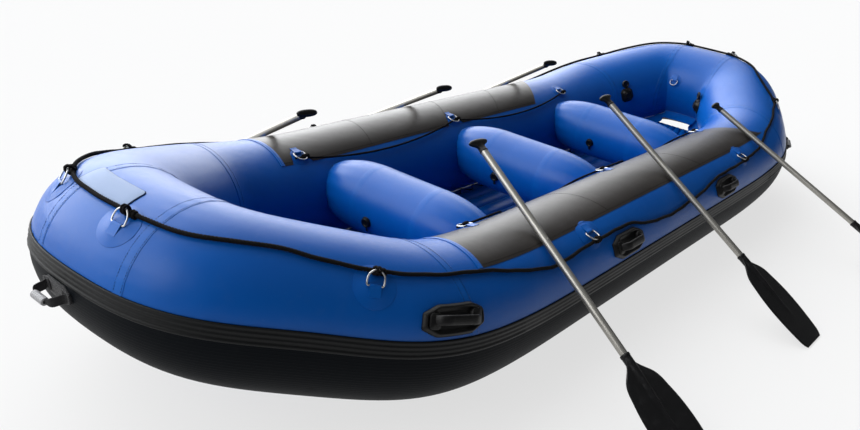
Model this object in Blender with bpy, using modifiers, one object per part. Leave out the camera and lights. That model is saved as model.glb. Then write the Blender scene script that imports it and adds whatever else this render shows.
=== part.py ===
"""Six-person whitewater raft: an inflated ring hull with thwarts, floor, rigging and paddles.

Frame: metres, +Z up, +X towards the stern, +Y to starboard. The origin is on the ground,
under the middle of the flat floor underside.
"""
import math

import bmesh
import bpy
import numpy as np
from mathutils import Matrix, Vector

# ---- driving dimensions (metres and degrees) ------------------------------------------
GAP = 0.0003                 # between pieces that touch
TUBE_R = 0.25                # main tube
HALF_BEAM = 0.5635           # centreline of the side tubes
KICK_START_X = 0.957         # the ends rise from here
SHOULDER_X = 1.492           # the sides turn in towards the ends here
SHOULDER_RISE = 0.053
END_X = 2.037                # centreline of the end tubes
END_HALF_WIDTH = 0.254
END_RISE = 0.218
CORNER_BLEND = 0.125         # how softly the centreline turns
SKIN = 0.0015                # coated fabric of every inflated piece
TUBE_SIDES = 24
CORNER_STATIONS = 7          # from the shoulder to the middle of an end
SEAM_GAP = 0.0008
SIDE_SEAM_X = 1.46           # seam between a side panel and a corner panel
MITRE_OUTER_Y = 0.19         # seam between a corner panel and an end panel, outside
MITRE_INNER_Y = 0.15         # and inside

WRAP_T = 0.002               # chafe wrap under the tubes
WRAP_TOP_ANGLE = 12.6        # above the tube's waist, on the outside
WRAP_FACETS = 9
WRAP_SEAM_X = 1.20
WEAR_T = 0.0015              # wear patch on the tube's crown
WEAR_FIRST_FACET = 3         # counted up from the wrap's top edge
WEAR_FACETS = 5
WEAR_ENDS_X = {"port": (-1.35, 1.31), "starboard": (-1.19, 0.98)}
WEAR_POINT = 0.30            # how far the stern end of the patch is cut back on its inner edge

THWART_X = (-0.881, -0.002, 0.914)
THWART_R = 0.147
THWART_Z = 0.327
THWART_HALF = 0.44
THWART_DOME = 0.283
THWART_DOME_POWER = 0.8
THWART_STEPS = 16
THWART_DOME_POINTS = 6
THWART_VALVE_Y = 0.073
THWART_VALVE_ANGLE = -168.0  # from +X, turning towards +Z
VALVE_HOLE_R = 0.014
VALVE_CAP_R = 0.021
VALVE_CAP_T = 0.010
CAP_HINGE_OUT = 0.007        # the cap's strap bends here, beyond its rim
CAP_HINGE_UP = 0.0035
CAP_STRAP_WIDTH = 0.010
CAP_STRAP_T = 0.003
CAP_STRAP_ROOT = 0.005       # how far the strap runs into the cap

FLOOR_T = 0.095
FLOOR_RIB = 0.012            # height of the ridges
FLOOR_RIBS = 8
FLOOR_SIDE_GAP = 0.008
FLOOR_END_GAP = 0.0128        # between the floor's ends and the end tubes, beside that
FLOOR_END_X = (END_X - math.sqrt(TUBE_R ** 2 - (TUBE_R - FLOOR_T) ** 2) - FLOOR_SIDE_GAP
               - FLOOR_END_GAP)
FLOOR_ROWS_X = tuple(share * FLOOR_END_X
                     for share in (0.0, 0.275, 0.522, 0.659, 0.769, 0.852, 0.923, 1.0))
FLOOR_VALVE_X = 0.45

HANDLE_X = (-1.493, -0.443, 0.600)
HANDLE_EDGE_ANGLE = 2.5      # from the wrap's top edge up to the handle's base
HANDLE_LENGTH = 0.242
HANDLE_WIDTH = 0.096
HANDLE_CHAMFER = (0.055, 0.024)
HANDLE_BASE_T = 0.007
HANDLE_SOCKET = 0.014        # how far the base reaches down round the tube
HANDLE_BAR_LENGTH = 0.178
HANDLE_BAR_WIDTH = 0.030
HANDLE_BAR_T = 0.012
HANDLE_REACH = 0.046         # top of the bar above the tube
HANDLE_POST = 0.026

LOOP_BOW_Y = 0.055
LOOP_STERN_X = 1.69
LOOP_ANGLE = -8.0
LOOP_BEND = 0.019            # from the sleeve's end out to the loop's leg
LOOP_REACH = 0.052
LOOP_CORD_R = 0.006
LOOP_BASE = (0.150, 0.060, 0.003)
LOOP_FOOT_SPREAD = 0.012     # the legs lean out by this much
LOOP_FOOT_SINK = 0.002       # and run into the base
LOOP_SHOULDER_DROP = 0.014   # from the sleeve's level down to where a leg bends
LOOP_CREST_DROP = 0.003
LOOP_CREST_SHARE = 0.6
SLEEVE_LENGTH = 0.062
SLEEVE_R = 0.0125
SLEEVE_BORE_GAP = 0.0006

RING_ARC_POINTS = 6
RING_WIDTH = 0.060           # D-rings, to the outside of the wire
RING_HEIGHT = 0.048
RING_WIRE_R = 0.0027
RING_TILT = 23.0
RING_LIFT = 0.0012           # under the wire
RING_SIDE_X = (-1.700, -0.671, 0.890, 1.700)
RING_SIDE_ANGLE = (46.5, 51.0, 51.0, 47.0)
RING_SIDE_DOWN = (False, True, True, False)
RING_BOW_Y = (-0.070, 0.198)
RING_STERN_Y = (-0.135, 0.135)
RING_END_ANGLE = {"bow": 51.0, "stern": 66.0}

LINE_R = 0.0055              # perimeter line
LINE_LIFT = 0.0046           # clear of the facets it lies on
LINE_STEP = 0.1242            # between points of the perimeter line
LINE_ROUTE = (               # (position along the hull, angle round the tube)
    (-2.037, 60.0), (-1.95, 63.5), (-1.85, 60.0), (-1.70, 56.5), (-1.54, 58.0), (-1.31, 54.0),
    (-1.12, 44.5), (-1.00, 40.0), (-0.85, 40.0), (-0.671, 42.0), (-0.51, 41.6), (-0.36, 40.0),
    (-0.27, 34.5), (-0.066, 30.0), (0.168, 31.5), (0.42, 36.8), (0.52, 40.0), (0.67, 40.8),
    (0.79, 40.6), (0.89, 42.0), (1.139, 45.0), (1.38, 57.0), (1.60, 60.0), (1.70, 57.0), (1.81, 67.0),
    (1.90, 74.0), (2.037, 76.0))
INNER_LINE_R = 0.005
INNER_RING_X = (-1.075, -0.050, 0.980)
INNER_RING_ANGLE = 118.0
INNER_RING_TILT = 8.0
INNER_LINE_TAIL = 0.035      # past the first and last ring
INNER_RING_LIFT = 2.0        # middle of the wire above the wear patch, in wire radii
INNER_LINE_ANGLE = 124.0     # at its rings
INNER_LINE_SAG = 12.0        # degrees lower between them
INNER_LINE_POINTS = 23

PADDLE_LENGTH = 1.40
PADDLE_PORT = ((-0.953, 58.4, 8.1), (0.118, 57.7, 1.3), (1.122, 64.1, -2.0))
PADDLE_STARBOARD = ((-1.017, 60.0, -12.4), (-0.121, 60.9, -13.7), (0.809, 58.7, -16.8))
PADDLE_REST_GAP = 0.014 * TUBE_R
SHAFT_R = 0.0145
SHAFT_WALL = 0.0018
BLADE_LENGTH = 0.46
BLADE_WIDTH = 0.20
BLADE_T = 0.007
BLADE_NECK_R = 0.017
BLADE_OUTLINE = (            # (share of half the width, height over the tip)
    (0.90, 0.0), (1.0, 0.05), (1.0, 0.30), (0.80, 0.365), (0.22, 0.425), (0.136, 0.445))
BLADE_NECK_LOW = 0.34
SPIGOT_LOW = 0.40
SPIGOT_LENGTH = 0.06
SHAFT_SIDES = 12
GRIP_WIDTH = 0.094
GRIP_HEIGHT = 0.060
GRIP_T = 0.030
GRIP_COLLAR = 0.03           # where the grip's sleeve starts, below its neck
GRIP_COLLAR_R = 0.01305
GRIP_OUTLINE = (             # (share of half the width, height over the neck)
    (0.84, 0.028), (1.0, 0.040), (0.92, 0.054), (0.50, 0.060))
GRIP_PLUG = 0.010            # how far the shaft runs short of the neck
GRIP_SOLID = 0.040           # the bore stops this far below the neck

CHAMBER_VALVES = {"port": (1.88, 180.0), "starboard": (1.66, 165.0)}
CHAMBER_BOOT = (0.084, 0.084, 0.022)
CHAMBER_CAP_R = 0.024
CHAMBER_CAP_T = 0.016
CHAMBER_STRAP = (0.016, 0.006)
CHAMBER_CAP_STEP = 0.070     # from the boot's middle up to the cap

SIDES = {"port": -1, "starboard": 1}
ENDS = {"bow": -1, "stern": 1}
TUBE_Z = TUBE_R + WRAP_T + GAP


# ---- scene, collections, materials ----------------------------------------------------
for old in list(bpy.data.objects):
    bpy.data.objects.remove(old, do_unlink=True)
PARTS = bpy.data.collections.new("whitewater_raft")
CUTTERS = bpy.data.collections.new("cutters")
bpy.context.scene.collection.children.link(PARTS)
bpy.context.scene.collection.children.link(CUTTERS)


def material(name, colour, roughness, metallic=0.0):
    mat = bpy.data.materials.new(name)
    mat.use_nodes = True
    shader = mat.node_tree.nodes["Principled BSDF"]
    shader.inputs["Base Color"].default_value = (*colour, 1.0)
    shader.inputs["Roughness"].default_value = roughness
    shader.inputs["Metallic"].default_value = metallic
    return mat


BLUE = material("blue_coated_fabric", (0.01, 0.09, 0.42), 0.35)
BLACK = material("black_rubber", (0.012, 0.012, 0.014), 0.55)
GREY = material("grey_wear_fabric", (0.11, 0.105, 0.105), 0.4)
ROPE = material("black_rope", (0.012, 0.012, 0.012), 0.85)
STEEL = material("stainless_steel", (0.6, 0.6, 0.6), 0.25, 1.0)
ALUMINIUM = material("aluminium", (0.55, 0.54, 0.52), 0.35, 1.0)
PLASTIC = material("black_plastic", (0.015, 0.015, 0.015), 0.4)


def add_object(name, mesh, mat, matrix=Matrix(), group=PARTS):
    """Put a mesh in the scene as one named piece."""
    if mat and not mesh.materials:
        mesh.materials.append(mat)
    obj = bpy.data.objects.new(name, mesh)
    obj.matrix_world = matrix
    group.objects.link(obj)
    return obj


def cutter(name, mesh, matrix=Matrix()):
    obj = add_object(name, mesh, None, matrix, CUTTERS)
    obj.hide_render = True
    obj.display_type = "WIRE"
    return obj


def cut(obj, tool, operation="DIFFERENCE"):
    step = obj.modifiers.new(operation.lower(), "BOOLEAN")
    step.object = tool
    step.operation = operation
    step.solver = "EXACT"


def baked(obj):
    """A plain mesh of what an object's modifiers give; the object is removed."""
    depsgraph = bpy.context.evaluated_depsgraph_get()
    mesh = bpy.data.meshes.new_from_object(obj.evaluated_get(depsgraph))
    mesh.transform(obj.matrix_world)
    bpy.data.objects.remove(obj, do_unlink=True)
    return mesh


def edit(mesh, change):
    work = bmesh.new()
    work.from_mesh(mesh)
    change(work)
    bmesh.ops.recalc_face_normals(work, faces=work.faces)
    work.to_mesh(mesh)
    work.free()
    return mesh


def curve_mesh(points, radius, resolution, cyclic=False, tilt=0.0):
    """A round tube along a run of points, as a mesh with its caps welded on."""
    curve = bpy.data.curves.new("run", "CURVE")
    curve.dimensions = "3D"
    curve.twist_mode = "Z_UP"
    curve.bevel_depth = radius
    curve.bevel_resolution = resolution
    curve.use_fill_caps = not cyclic
    spline = curve.splines.new("POLY")
    spline.points.add(len(points) - 1)
    for point, place in zip(spline.points, points):
        point.co = (*place, 1.0)
        point.tilt = tilt
    spline.use_cyclic_u = cyclic
    holder = bpy.data.objects.new("run", curve)
    bpy.context.scene.collection.objects.link(holder)
    mesh = baked(holder)
    return edit(mesh, lambda work: bmesh.ops.remove_doubles(work, verts=work.verts, dist=1e-6))


def plate_mesh(outline, thickness):
    """A flat outline in XY, thickened evenly either side of the plane."""
    curve = bpy.data.curves.new("outline", "CURVE")
    curve.dimensions = "2D"
    curve.fill_mode = "BOTH"
    curve.extrude = thickness / 2
    spline = curve.splines.new("POLY")
    spline.points.add(len(outline) - 1)
    for point, place in zip(spline.points, outline):
        point.co = (*place, 0.0, 1.0)
    spline.use_cyclic_u = True
    holder = bpy.data.objects.new("outline", curve)
    bpy.context.scene.collection.objects.link(holder)
    mesh = baked(holder)
    return edit(mesh, lambda work: bmesh.ops.remove_doubles(work, verts=work.verts, dist=1e-6))


def box_mesh(size, centre=(0, 0, 0)):
    mesh = bpy.data.meshes.new("box")

    def build(work):
        bmesh.ops.create_cube(work, size=1.0)
        bmesh.ops.scale(work, vec=size, verts=work.verts)
        bmesh.ops.translate(work, vec=centre, verts=work.verts)

    return edit(mesh, build)


def rod_mesh(radius, low, high, sides=12):
    """A cylinder on the Z axis from low to high."""
    mesh = bpy.data.meshes.new("rod")

    def build(work):
        bmesh.ops.create_cone(work, cap_ends=True, segments=sides, radius1=radius,
                              radius2=radius, depth=high - low)
        bmesh.ops.translate(work, vec=(0, 0, (high + low) / 2), verts=work.verts)

    return edit(mesh, build)


def joined(first, *others):
    """Boolean union of closed meshes that overlap."""
    body = add_object("body", first, None, group=CUTTERS)
    tools = [add_object("tool", other, None, group=CUTTERS) for other in others]
    for tool in tools:
        cut(body, tool, "UNION")
    mesh = baked(body)
    for tool in tools:
        bpy.data.objects.remove(tool, do_unlink=True)
    return mesh


def carved(first, *others):
    """Boolean difference of closed meshes."""
    body = add_object("body", first, None, group=CUTTERS)
    tools = [add_object("tool", other, None, group=CUTTERS) for other in others]
    for tool in tools:
        cut(body, tool)
    mesh = baked(body)
    for tool in tools:
        bpy.data.objects.remove(tool, do_unlink=True)
    return mesh


# ---- the hull's centreline ------------------------------------------------------------
class Ring:
    """Closed centreline of the main tube: bow, port, stern, starboard."""

    SAMPLES = 4096

    def __init__(self):
        share = np.linspace(0.0, 1.0, 12)
        kick = [(KICK_START_X + (SHOULDER_X - KICK_START_X) * t, HALF_BEAM, SHOULDER_RISE * t * t)
                for t in share]
        quarter = np.array([(0.0, HALF_BEAM, 0.0), *kick, (END_X, END_HALF_WIDTH, END_RISE),
                            (END_X, 0.0, END_RISE)])
        bow_port = quarter[::-1] * (-1, -1, 1)
        port_stern = quarter * (1, -1, 1)
        stern_starboard = quarter[::-1]
        starboard_bow = quarter * (-1, 1, 1)
        loop = np.concatenate([bow_port, port_stern[1:], stern_starboard[1:], starboard_bow[1:]])
        length = np.concatenate([[0.0], np.cumsum(np.linalg.norm(np.diff(loop, axis=0), axis=1))])
        step = length[-1] / self.SAMPLES
        even = np.arange(self.SAMPLES) * step
        loop = np.stack([np.interp(even, length, loop[:, i]) for i in range(3)], axis=1)
        waves = np.fft.fftfreq(self.SAMPLES, d=step)
        soften = np.exp(-2.0 * (math.pi * waves * CORNER_BLEND) ** 2)[:, None]
        self.points = np.fft.ifft(np.fft.fft(loop, axis=0) * soften, axis=0).real
        self.points[:, 2] += TUBE_Z
        ahead = np.roll(self.points, -1, axis=0) - np.roll(self.points, 1, axis=0)
        self.along = ahead / np.linalg.norm(ahead, axis=1)[:, None]
        outward = np.cross(self.along, (0.0, 0.0, 1.0))
        self.outward = outward / np.linalg.norm(outward, axis=1)[:, None]
        self.up = np.cross(self.outward, self.along)
        half = self.SAMPLES // 2
        self.half = {-1: np.arange(0, half + 1), 1: np.arange(half, self.SAMPLES)}

    def at_x(self, x, side):
        """Sample index on one side of the hull, nearest to x."""
        choice = self.half[side]
        return int(choice[np.abs(self.points[choice, 0] - x).argmin()])

    def at_y(self, y, end):
        """Sample index across one end of the hull, nearest to y."""
        choice = np.nonzero(self.points[:, 0] * end > SHOULDER_X)[0]
        return int(choice[np.abs(self.points[choice, 1] - y).argmin()])

    def seat(self, index, angle, lift=0.0):
        """Placing frame on the tube: X along it, Y up its slope, Z straight out."""
        turn = math.radians(angle)
        out = math.cos(turn) * self.outward[index] + math.sin(turn) * self.up[index]
        slope = math.cos(turn) * self.up[index] - math.sin(turn) * self.outward[index]
        centre = self.points[index] + (TUBE_R + lift) * out
        frame = np.eye(4)
        frame[:3, 0], frame[:3, 1], frame[:3, 2], frame[:3, 3] = self.along[index], slope, out, centre
        return Matrix(frame.tolist())


RING = Ring()


def ring_stations():
    """Sample indices where the tube's facets change: few on the sides, more round the ends."""
    middle = (KICK_START_X + SHOULDER_X) / 2
    straight = [RING.at_x(x, -1) for x in (0.0, KICK_START_X, middle)]
    corner = np.linspace(RING.at_x(SHOULDER_X - CORNER_BLEND, -1), Ring.SAMPLES // 2,
                         CORNER_STATIONS)
    quarter = straight + corner.astype(int).tolist()
    half = Ring.SAMPLES // 2
    whole = sorted({(half - i) % Ring.SAMPLES for i in quarter} | set(quarter))
    other = [(Ring.SAMPLES - i) % Ring.SAMPLES for i in whole]
    return sorted(set(whole) | set(other))


STATIONS = ring_stations()


def ring_skin(lift):
    """The whole tube's surface as a closed ring of facets, lifted off the tube."""
    points = [RING.points[i] for i in STATIONS]
    mesh = curve_mesh(points, TUBE_R + lift, (TUBE_SIDES - 4) // 2, True,
                      -math.radians(WRAP_TOP_ANGLE))
    return edit(mesh, lambda work: bmesh.ops.triangulate(work, faces=work.faces,
                                                         quad_method="FIXED"))


def facet_angle(centre):
    """Angle round the tube of a point near its surface, 0 at the outer waist."""
    index = int(np.linalg.norm(RING.points - np.array(centre), axis=1).argmin())
    arm = np.array(centre) - RING.points[index]
    return math.degrees(math.atan2(arm @ RING.up[index], arm @ RING.outward[index])) % 360.0


def trimmed(mesh, planes, facets=None):
    """Keep what lies behind each (point, normal) plane and within a run of facets."""
    def change(work):
        for point, normal in planes:
            geometry = list(work.verts) + list(work.edges) + list(work.faces)
            bmesh.ops.bisect_plane(work, geom=geometry, plane_co=point, plane_no=normal,
                                   clear_outer=True)
        if facets:
            low, high = facets
            spare = [face for face in work.faces
                     if not 0.0 < (facet_angle(face.calc_center_median()) - low) % 360.0 < high - low]
            bmesh.ops.delete(work, geom=spare, context="FACES")

    work = bmesh.new()
    work.from_mesh(mesh)
    change(work)
    work.to_mesh(mesh)
    work.free()
    return mesh


def shell(obj, thickness, outwards):
    step = obj.modifiers.new("thickness", "SOLIDIFY")
    step.thickness = thickness
    step.offset = 1.0 if outwards else -1.0
    step.use_even_offset = True
    return obj


# ---- hull pieces ----------------------------------------------------------------------
def mitre_plane(end, side, towards_corner):
    """Seam plane between an end panel and a corner panel, with half the seam gap."""
    outer = Vector((end * (END_X + TUBE_R), side * MITRE_OUTER_Y, 0.0))
    inner = Vector((end * (END_X - TUBE_R), side * MITRE_INNER_Y, 0.0))
    run = (outer - inner).normalized()
    normal = Vector((-run.y, run.x, 0.0))
    if normal.y * side < 0:
        normal.negate()
    if towards_corner:
        normal.negate()
    return inner - normal * SEAM_GAP / 2, normal


def make_tube_panels():
    edge = SIDE_SEAM_X + SEAM_GAP / 2
    for side_name, side in SIDES.items():
        planes = [((SIDE_SEAM_X - SEAM_GAP / 2, 0, 0), (1, 0, 0)),
                  ((SEAM_GAP / 2 - SIDE_SEAM_X, 0, 0), (-1, 0, 0)), ((0, 0, 0), (0, -side, 0))]
        mesh = trimmed(ring_skin(0.0), planes)
        shell(add_object("tube_" + side_name, mesh, BLUE), SKIN, False)
        for end_name, end in ENDS.items():
            planes = [((end * edge, 0, 0), (-end, 0, 0)), ((0, 0, 0), (0, -side, 0)),
                      mitre_plane(end, side, True)]
            mesh = trimmed(ring_skin(0.0), planes)
            name = "tube_" + end_name + "_" + side_name + "_corner"
            shell(add_object(name, mesh, BLUE), SKIN, False)
    for end_name, end in ENDS.items():
        planes = [((end * SHOULDER_X, 0, 0), (-end, 0, 0)), mitre_plane(end, -1, False),
                  mitre_plane(end, 1, False)]
        mesh = trimmed(ring_skin(0.0), planes)
        shell(add_object("tube_" + end_name + "_end", mesh, BLUE), SKIN, False)


def facet_run(first, count):
    """Angles either side of a run of whole facets, counted up from the wrap's top edge."""
    width = 360.0 / TUBE_SIDES
    return WRAP_TOP_ANGLE + first * width, WRAP_TOP_ANGLE + (first + count) * width


def make_wraps():
    run = facet_run(-WRAP_FACETS, WRAP_FACETS)
    for side_name, side in SIDES.items():
        planes = [((WRAP_SEAM_X - SEAM_GAP / 2, 0, 0), (1, 0, 0)),
                  ((SEAM_GAP / 2 - WRAP_SEAM_X, 0, 0), (-1, 0, 0)), ((0, 0, 0), (0, -side, 0))]
        mesh = trimmed(ring_skin(GAP), planes, run)
        shell(add_object("chafe_wrap_" + side_name, mesh, BLACK), WRAP_T, True)
    for end_name, end in ENDS.items():
        mesh = trimmed(ring_skin(GAP), [((end * (WRAP_SEAM_X + SEAM_GAP / 2), 0, 0), (-end, 0, 0))],
                       run)
        shell(add_object("chafe_wrap_" + end_name, mesh, BLACK), WRAP_T, True)


def make_wear_patches():
    for side_name, side in SIDES.items():
        low, high = WEAR_ENDS_X[side_name]
        inner = Vector((high - WEAR_POINT, side * (HALF_BEAM - TUBE_R), 0))
        outer = Vector((high, side * (HALF_BEAM + TUBE_R), 0))
        run = outer - inner
        planes = [((low, 0, 0), (-1, 0, 0)), ((0, 0, 0), (0, -side, 0)),
                  (inner, (abs(run.y), -side * run.x, 0))]
        mesh = trimmed(ring_skin(GAP), planes, facet_run(WEAR_FIRST_FACET, WEAR_FACETS))
        shell(add_object("wear_patch_" + side_name, mesh, GREY), WEAR_T, True)


def ring_cutter(lift):
    """A solid of the main tube, slightly fat, that fittings are cut to."""
    return cutter("tube_solid", ring_skin(lift))


def thwart_profile():
    share = np.linspace(0.0, math.pi / 2, THWART_DOME_POINTS)
    dome = [(THWART_R * max(math.cos(a), 0.0) ** THWART_DOME_POWER,
             THWART_HALF - THWART_DOME + THWART_DOME * math.sin(a)) for a in share[:-1]]
    dome.append((0.0, THWART_HALF))
    top = dome[::-1]
    return top + [(x, -z) for x, z in dome]


def make_thwarts(tube):
    for number, x in enumerate(THWART_X, 1):
        mesh = bpy.data.meshes.new("thwart")
        profile = thwart_profile()
        mesh.from_pydata([(px, 0, pz) for px, pz in profile],
                         [(i, i + 1) for i in range(len(profile) - 1)], [])
        matrix = Matrix.Translation((x, 0, THWART_Z)) @ Matrix.Rotation(math.pi / 2, 4, "X")
        obj = add_object("thwart_%d" % number, mesh, BLUE, matrix)
        turn = obj.modifiers.new("turn", "SCREW")
        turn.steps = turn.render_steps = THWART_STEPS
        turn.use_merge_vertices = True
        turn.merge_threshold = 0.0001
        cut(obj, tube)
        shell(obj, SKIN, False)
        hole = cutter("valve_hole_%d" % number, rod_mesh(VALVE_HOLE_R, -0.03, 0.03),
                      valve_seat(x, 0.0))
        cut(obj, hole)


def valve_seat(x, lift):
    """Placing frame of a thwart's valve: Z straight out of the thwart, Y along the hull's beam."""
    turn = math.radians(THWART_VALVE_ANGLE)
    out = Vector((math.cos(turn), 0, math.sin(turn)))
    beam = Vector((0, 1, 0))
    slope = beam.cross(out)
    frame = Matrix((slope, beam, out)).transposed().to_4x4()
    frame.translation = Vector((x, THWART_VALVE_Y, THWART_Z)) + out * (THWART_R + lift)
    return frame


def cap_seat(x):
    """Placing frame on a valve cap's hinge line."""
    return valve_seat(x, 0.0) @ Matrix.Translation((-VALVE_CAP_R - CAP_HINGE_OUT, 0, CAP_HINGE_UP))


def make_valve_caps():
    cap = rod_mesh(VALVE_CAP_R, GAP, VALVE_CAP_T, 16)
    strap = box_mesh((CAP_HINGE_OUT + CAP_STRAP_ROOT, CAP_STRAP_WIDTH, CAP_STRAP_T),
                     ((CAP_STRAP_ROOT - CAP_HINGE_OUT) / 2 - VALVE_CAP_R, 0, CAP_HINGE_UP))
    mesh = joined(cap, strap)
    mesh.transform(Matrix.Translation((VALVE_CAP_R + CAP_HINGE_OUT, 0, -CAP_HINGE_UP)))
    for number, x in enumerate(THWART_X, 1):
        add_object("valve_cap_%d" % number, mesh, PLASTIC, cap_seat(x))


def floor_half_width(x):
    """Half the floor's width at x, inside the tubes at the floor's top."""
    inset = math.sqrt(TUBE_R ** 2 - (TUBE_R - FLOOR_T) ** 2) + FLOOR_SIDE_GAP
    half = RING.half[1]
    inner = RING.points[half] - inset * RING.outward[half]
    order = np.argsort(inner[:, 0])
    return float(np.interp(x, inner[order, 0], inner[order, 1]))


def hull_rise(x):
    half = RING.half[1]
    order = np.argsort(RING.points[half, 0])
    return float(np.interp(x, RING.points[half][order, 0], RING.points[half][order, 2]) - TUBE_Z)


def make_floor():
    mesh = bpy.data.meshes.new("floor")
    rows = sorted({-x for x in FLOOR_ROWS_X} | set(FLOOR_ROWS_X))
    columns = 2 * FLOOR_RIBS

    def build(work):
        bmesh.ops.create_grid(work, x_segments=len(rows) - 1, y_segments=columns, size=1.0)
        top = list(work.verts)
        extruded = bmesh.ops.extrude_face_region(work, geom=list(work.faces))
        bottom = [item for item in extruded["geom"] if isinstance(item, bmesh.types.BMVert)]
        for verts, is_top in ((top, True), (bottom, False)):
            for vert in verts:
                row = round((vert.co.x + 1) / 2 * (len(rows) - 1))
                column = round((vert.co.y + 1) / 2 * columns)
                x = rows[row]
                share = column / columns * 2 - 1
                rib = FLOOR_RIB if column % 2 else 0.0
                rise = hull_rise(x)
                height = FLOOR_T - FLOOR_RIB + rib if is_top else 0.0
                vert.co = (x, share * floor_half_width(x), rise + height)

    edit(mesh, build)
    obj = shell(add_object("floor", mesh, BLUE), SKIN, False)
    hole = cutter("floor_valve_hole", rod_mesh(VALVE_HOLE_R, FLOOR_T - 0.03, FLOOR_T + 0.03),
                  Matrix.Translation((FLOOR_VALVE_X, 0, 0)))
    cut(obj, hole)


# ---- fittings -------------------------------------------------------------------------
def octagon(length, width, chamfer):
    half, side = length / 2, width / 2
    dx, dy = chamfer
    return [(half, side - dy), (half - dx, side), (dx - half, side), (-half, side - dy),
            (-half, dy - side), (dx - half, -side), (half - dx, -side), (half, dy - side)]


def handle_mesh():
    """Moulded handle: eight-sided base with a raised bar across it, over a finger gap."""
    height = HANDLE_BASE_T + HANDLE_SOCKET
    base = plate_mesh(octagon(HANDLE_LENGTH, HANDLE_WIDTH, HANDLE_CHAMFER), height)
    base.transform(Matrix.Translation((0, 0, HANDLE_BASE_T - height / 2)))
    reach = HANDLE_REACH - HANDLE_BASE_T / 2
    block = box_mesh((HANDLE_BAR_LENGTH, HANDLE_BAR_WIDTH, reach),
                     (0, 0, HANDLE_REACH - reach / 2))
    clear = HANDLE_REACH - HANDLE_BAR_T - HANDLE_BASE_T
    window = box_mesh((HANDLE_BAR_LENGTH - 2 * HANDLE_POST, HANDLE_BAR_WIDTH * 2, clear),
                      (0, 0, HANDLE_BASE_T + clear / 2))
    bridge = carved(block, window)
    return joined(base, bridge)


def handle_angle():
    """Angle round the tube of a handle's middle, its lower edge just above the wrap."""
    return WRAP_TOP_ANGLE + HANDLE_EDGE_ANGLE + math.degrees(HANDLE_WIDTH / 2 / TUBE_R)


def make_handles(tube):
    for side_name, side in SIDES.items():
        for number, x in enumerate(HANDLE_X, 1):
            seat = RING.seat(RING.at_x(x, side), handle_angle())
            obj = add_object("grab_handle_%s_%d" % (side_name, number), handle_mesh(), BLACK, seat)
            cut(obj, tube)


def loop_seats():
    return {"bow": RING.seat(RING.at_y(LOOP_BOW_Y, -1), LOOP_ANGLE, WRAP_T + GAP),
            "stern": RING.seat(RING.at_x(LOOP_STERN_X, -1), LOOP_ANGLE, WRAP_T + GAP)}


def make_end_loops(wrap):
    straight = SLEEVE_LENGTH / 2 + 2 * SLEEVE_BORE_GAP
    leg = straight + LOOP_BEND
    foot = leg + LOOP_FOOT_SPREAD
    path = [(-foot, 0, -LOOP_FOOT_SINK), (-foot, 0, LOOP_FOOT_SPREAD),
            (-leg, 0, LOOP_REACH - LOOP_SHOULDER_DROP),
            (-leg + LOOP_BEND * LOOP_CREST_SHARE, 0, LOOP_REACH - LOOP_CREST_DROP),
            (-straight, 0, LOOP_REACH)]
    path += [(-x, y, z) for x, y, z in path[::-1]]
    length, width, thick = LOOP_BASE
    for end_name, seat in loop_seats().items():
        base = box_mesh((length, width, thick + HANDLE_SOCKET), (0, 0, thick / 2 - HANDLE_SOCKET / 2))
        strap = joined(base, curve_mesh(path, LOOP_CORD_R, 2))
        cut(add_object("carry_loop_" + end_name, strap, BLACK, seat), wrap)
        half = SLEEVE_LENGTH / 2
        sleeve = carved(rod_mesh(SLEEVE_R, -half, half, 16),
                        rod_mesh(LOOP_CORD_R + SLEEVE_BORE_GAP, -2 * half, 2 * half, 16))
        across = Matrix.Translation((0, 0, LOOP_REACH)) @ Matrix.Rotation(math.pi / 2, 4, "Y")
        add_object("carry_sleeve_" + end_name, sleeve, GREY, seat @ across)


def ring_path():
    """Centreline of a D-ring in its own plane: straight bar on X, arc towards +Y."""
    half = RING_WIDTH / 2 - RING_WIRE_R
    rise = RING_HEIGHT - RING_WIRE_R
    straight = rise - half
    arc = [(half * math.cos(a), straight + half * math.sin(a), 0)
           for a in np.linspace(0.0, math.pi, RING_ARC_POINTS)]
    return [(-half, 0, 0), (half, 0, 0), *arc]


def ring_seats():
    """Placing frames of the outer D-rings by name, on the bar's axis."""
    lift = RING_WIRE_R + RING_LIFT
    seats = {}
    for side_name, side in SIDES.items():
        for number, (x, angle, down) in enumerate(
                zip(RING_SIDE_X, RING_SIDE_ANGLE, RING_SIDE_DOWN), 1):
            seat = RING.seat(RING.at_x(x, side), angle, lift)
            if down:
                seat = seat @ Matrix.Rotation(math.pi, 4, "Z")
            seats["d_ring_%s_%d" % (side_name, number)] = seat
    for end_name, places in (("bow", RING_BOW_Y), ("stern", RING_STERN_Y)):
        for number, y in enumerate(places, 1):
            index = RING.at_y(y, ENDS[end_name])
            seats["d_ring_%s_%d" % (end_name, number)] = RING.seat(
                index, RING_END_ANGLE[end_name], lift)
    return seats


def make_d_rings():
    mesh = curve_mesh(ring_path(), RING_WIRE_R, 1, cyclic=True)
    for name, seat in ring_seats().items():
        add_object(name, mesh, STEEL, seat @ Matrix.Rotation(math.radians(RING_TILT), 4, "X"))


# ---- lines ----------------------------------------------------------------------------
def smooth_table(table, wanted):
    """Read a smooth curve (Catmull-Rom slopes) through (position, value) pairs."""
    place, value = (np.array(column, dtype=float) for column in zip(*table))
    slope = np.gradient(value, place)
    index = np.clip(np.searchsorted(place, wanted) - 1, 0, len(place) - 2)
    width = place[index + 1] - place[index]
    t = np.clip((wanted - place[index]) / width, 0.0, 1.0)
    return ((1 + 2 * t) * (1 - t) ** 2 * value[index] + t * (1 - t) ** 2 * width * slope[index]
            + t * t * (3 - 2 * t) * value[index + 1] + t * t * (t - 1) * width * slope[index + 1])


def on_tube(index, angle, lift):
    return RING.seat(index, angle, lift).translation


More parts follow.
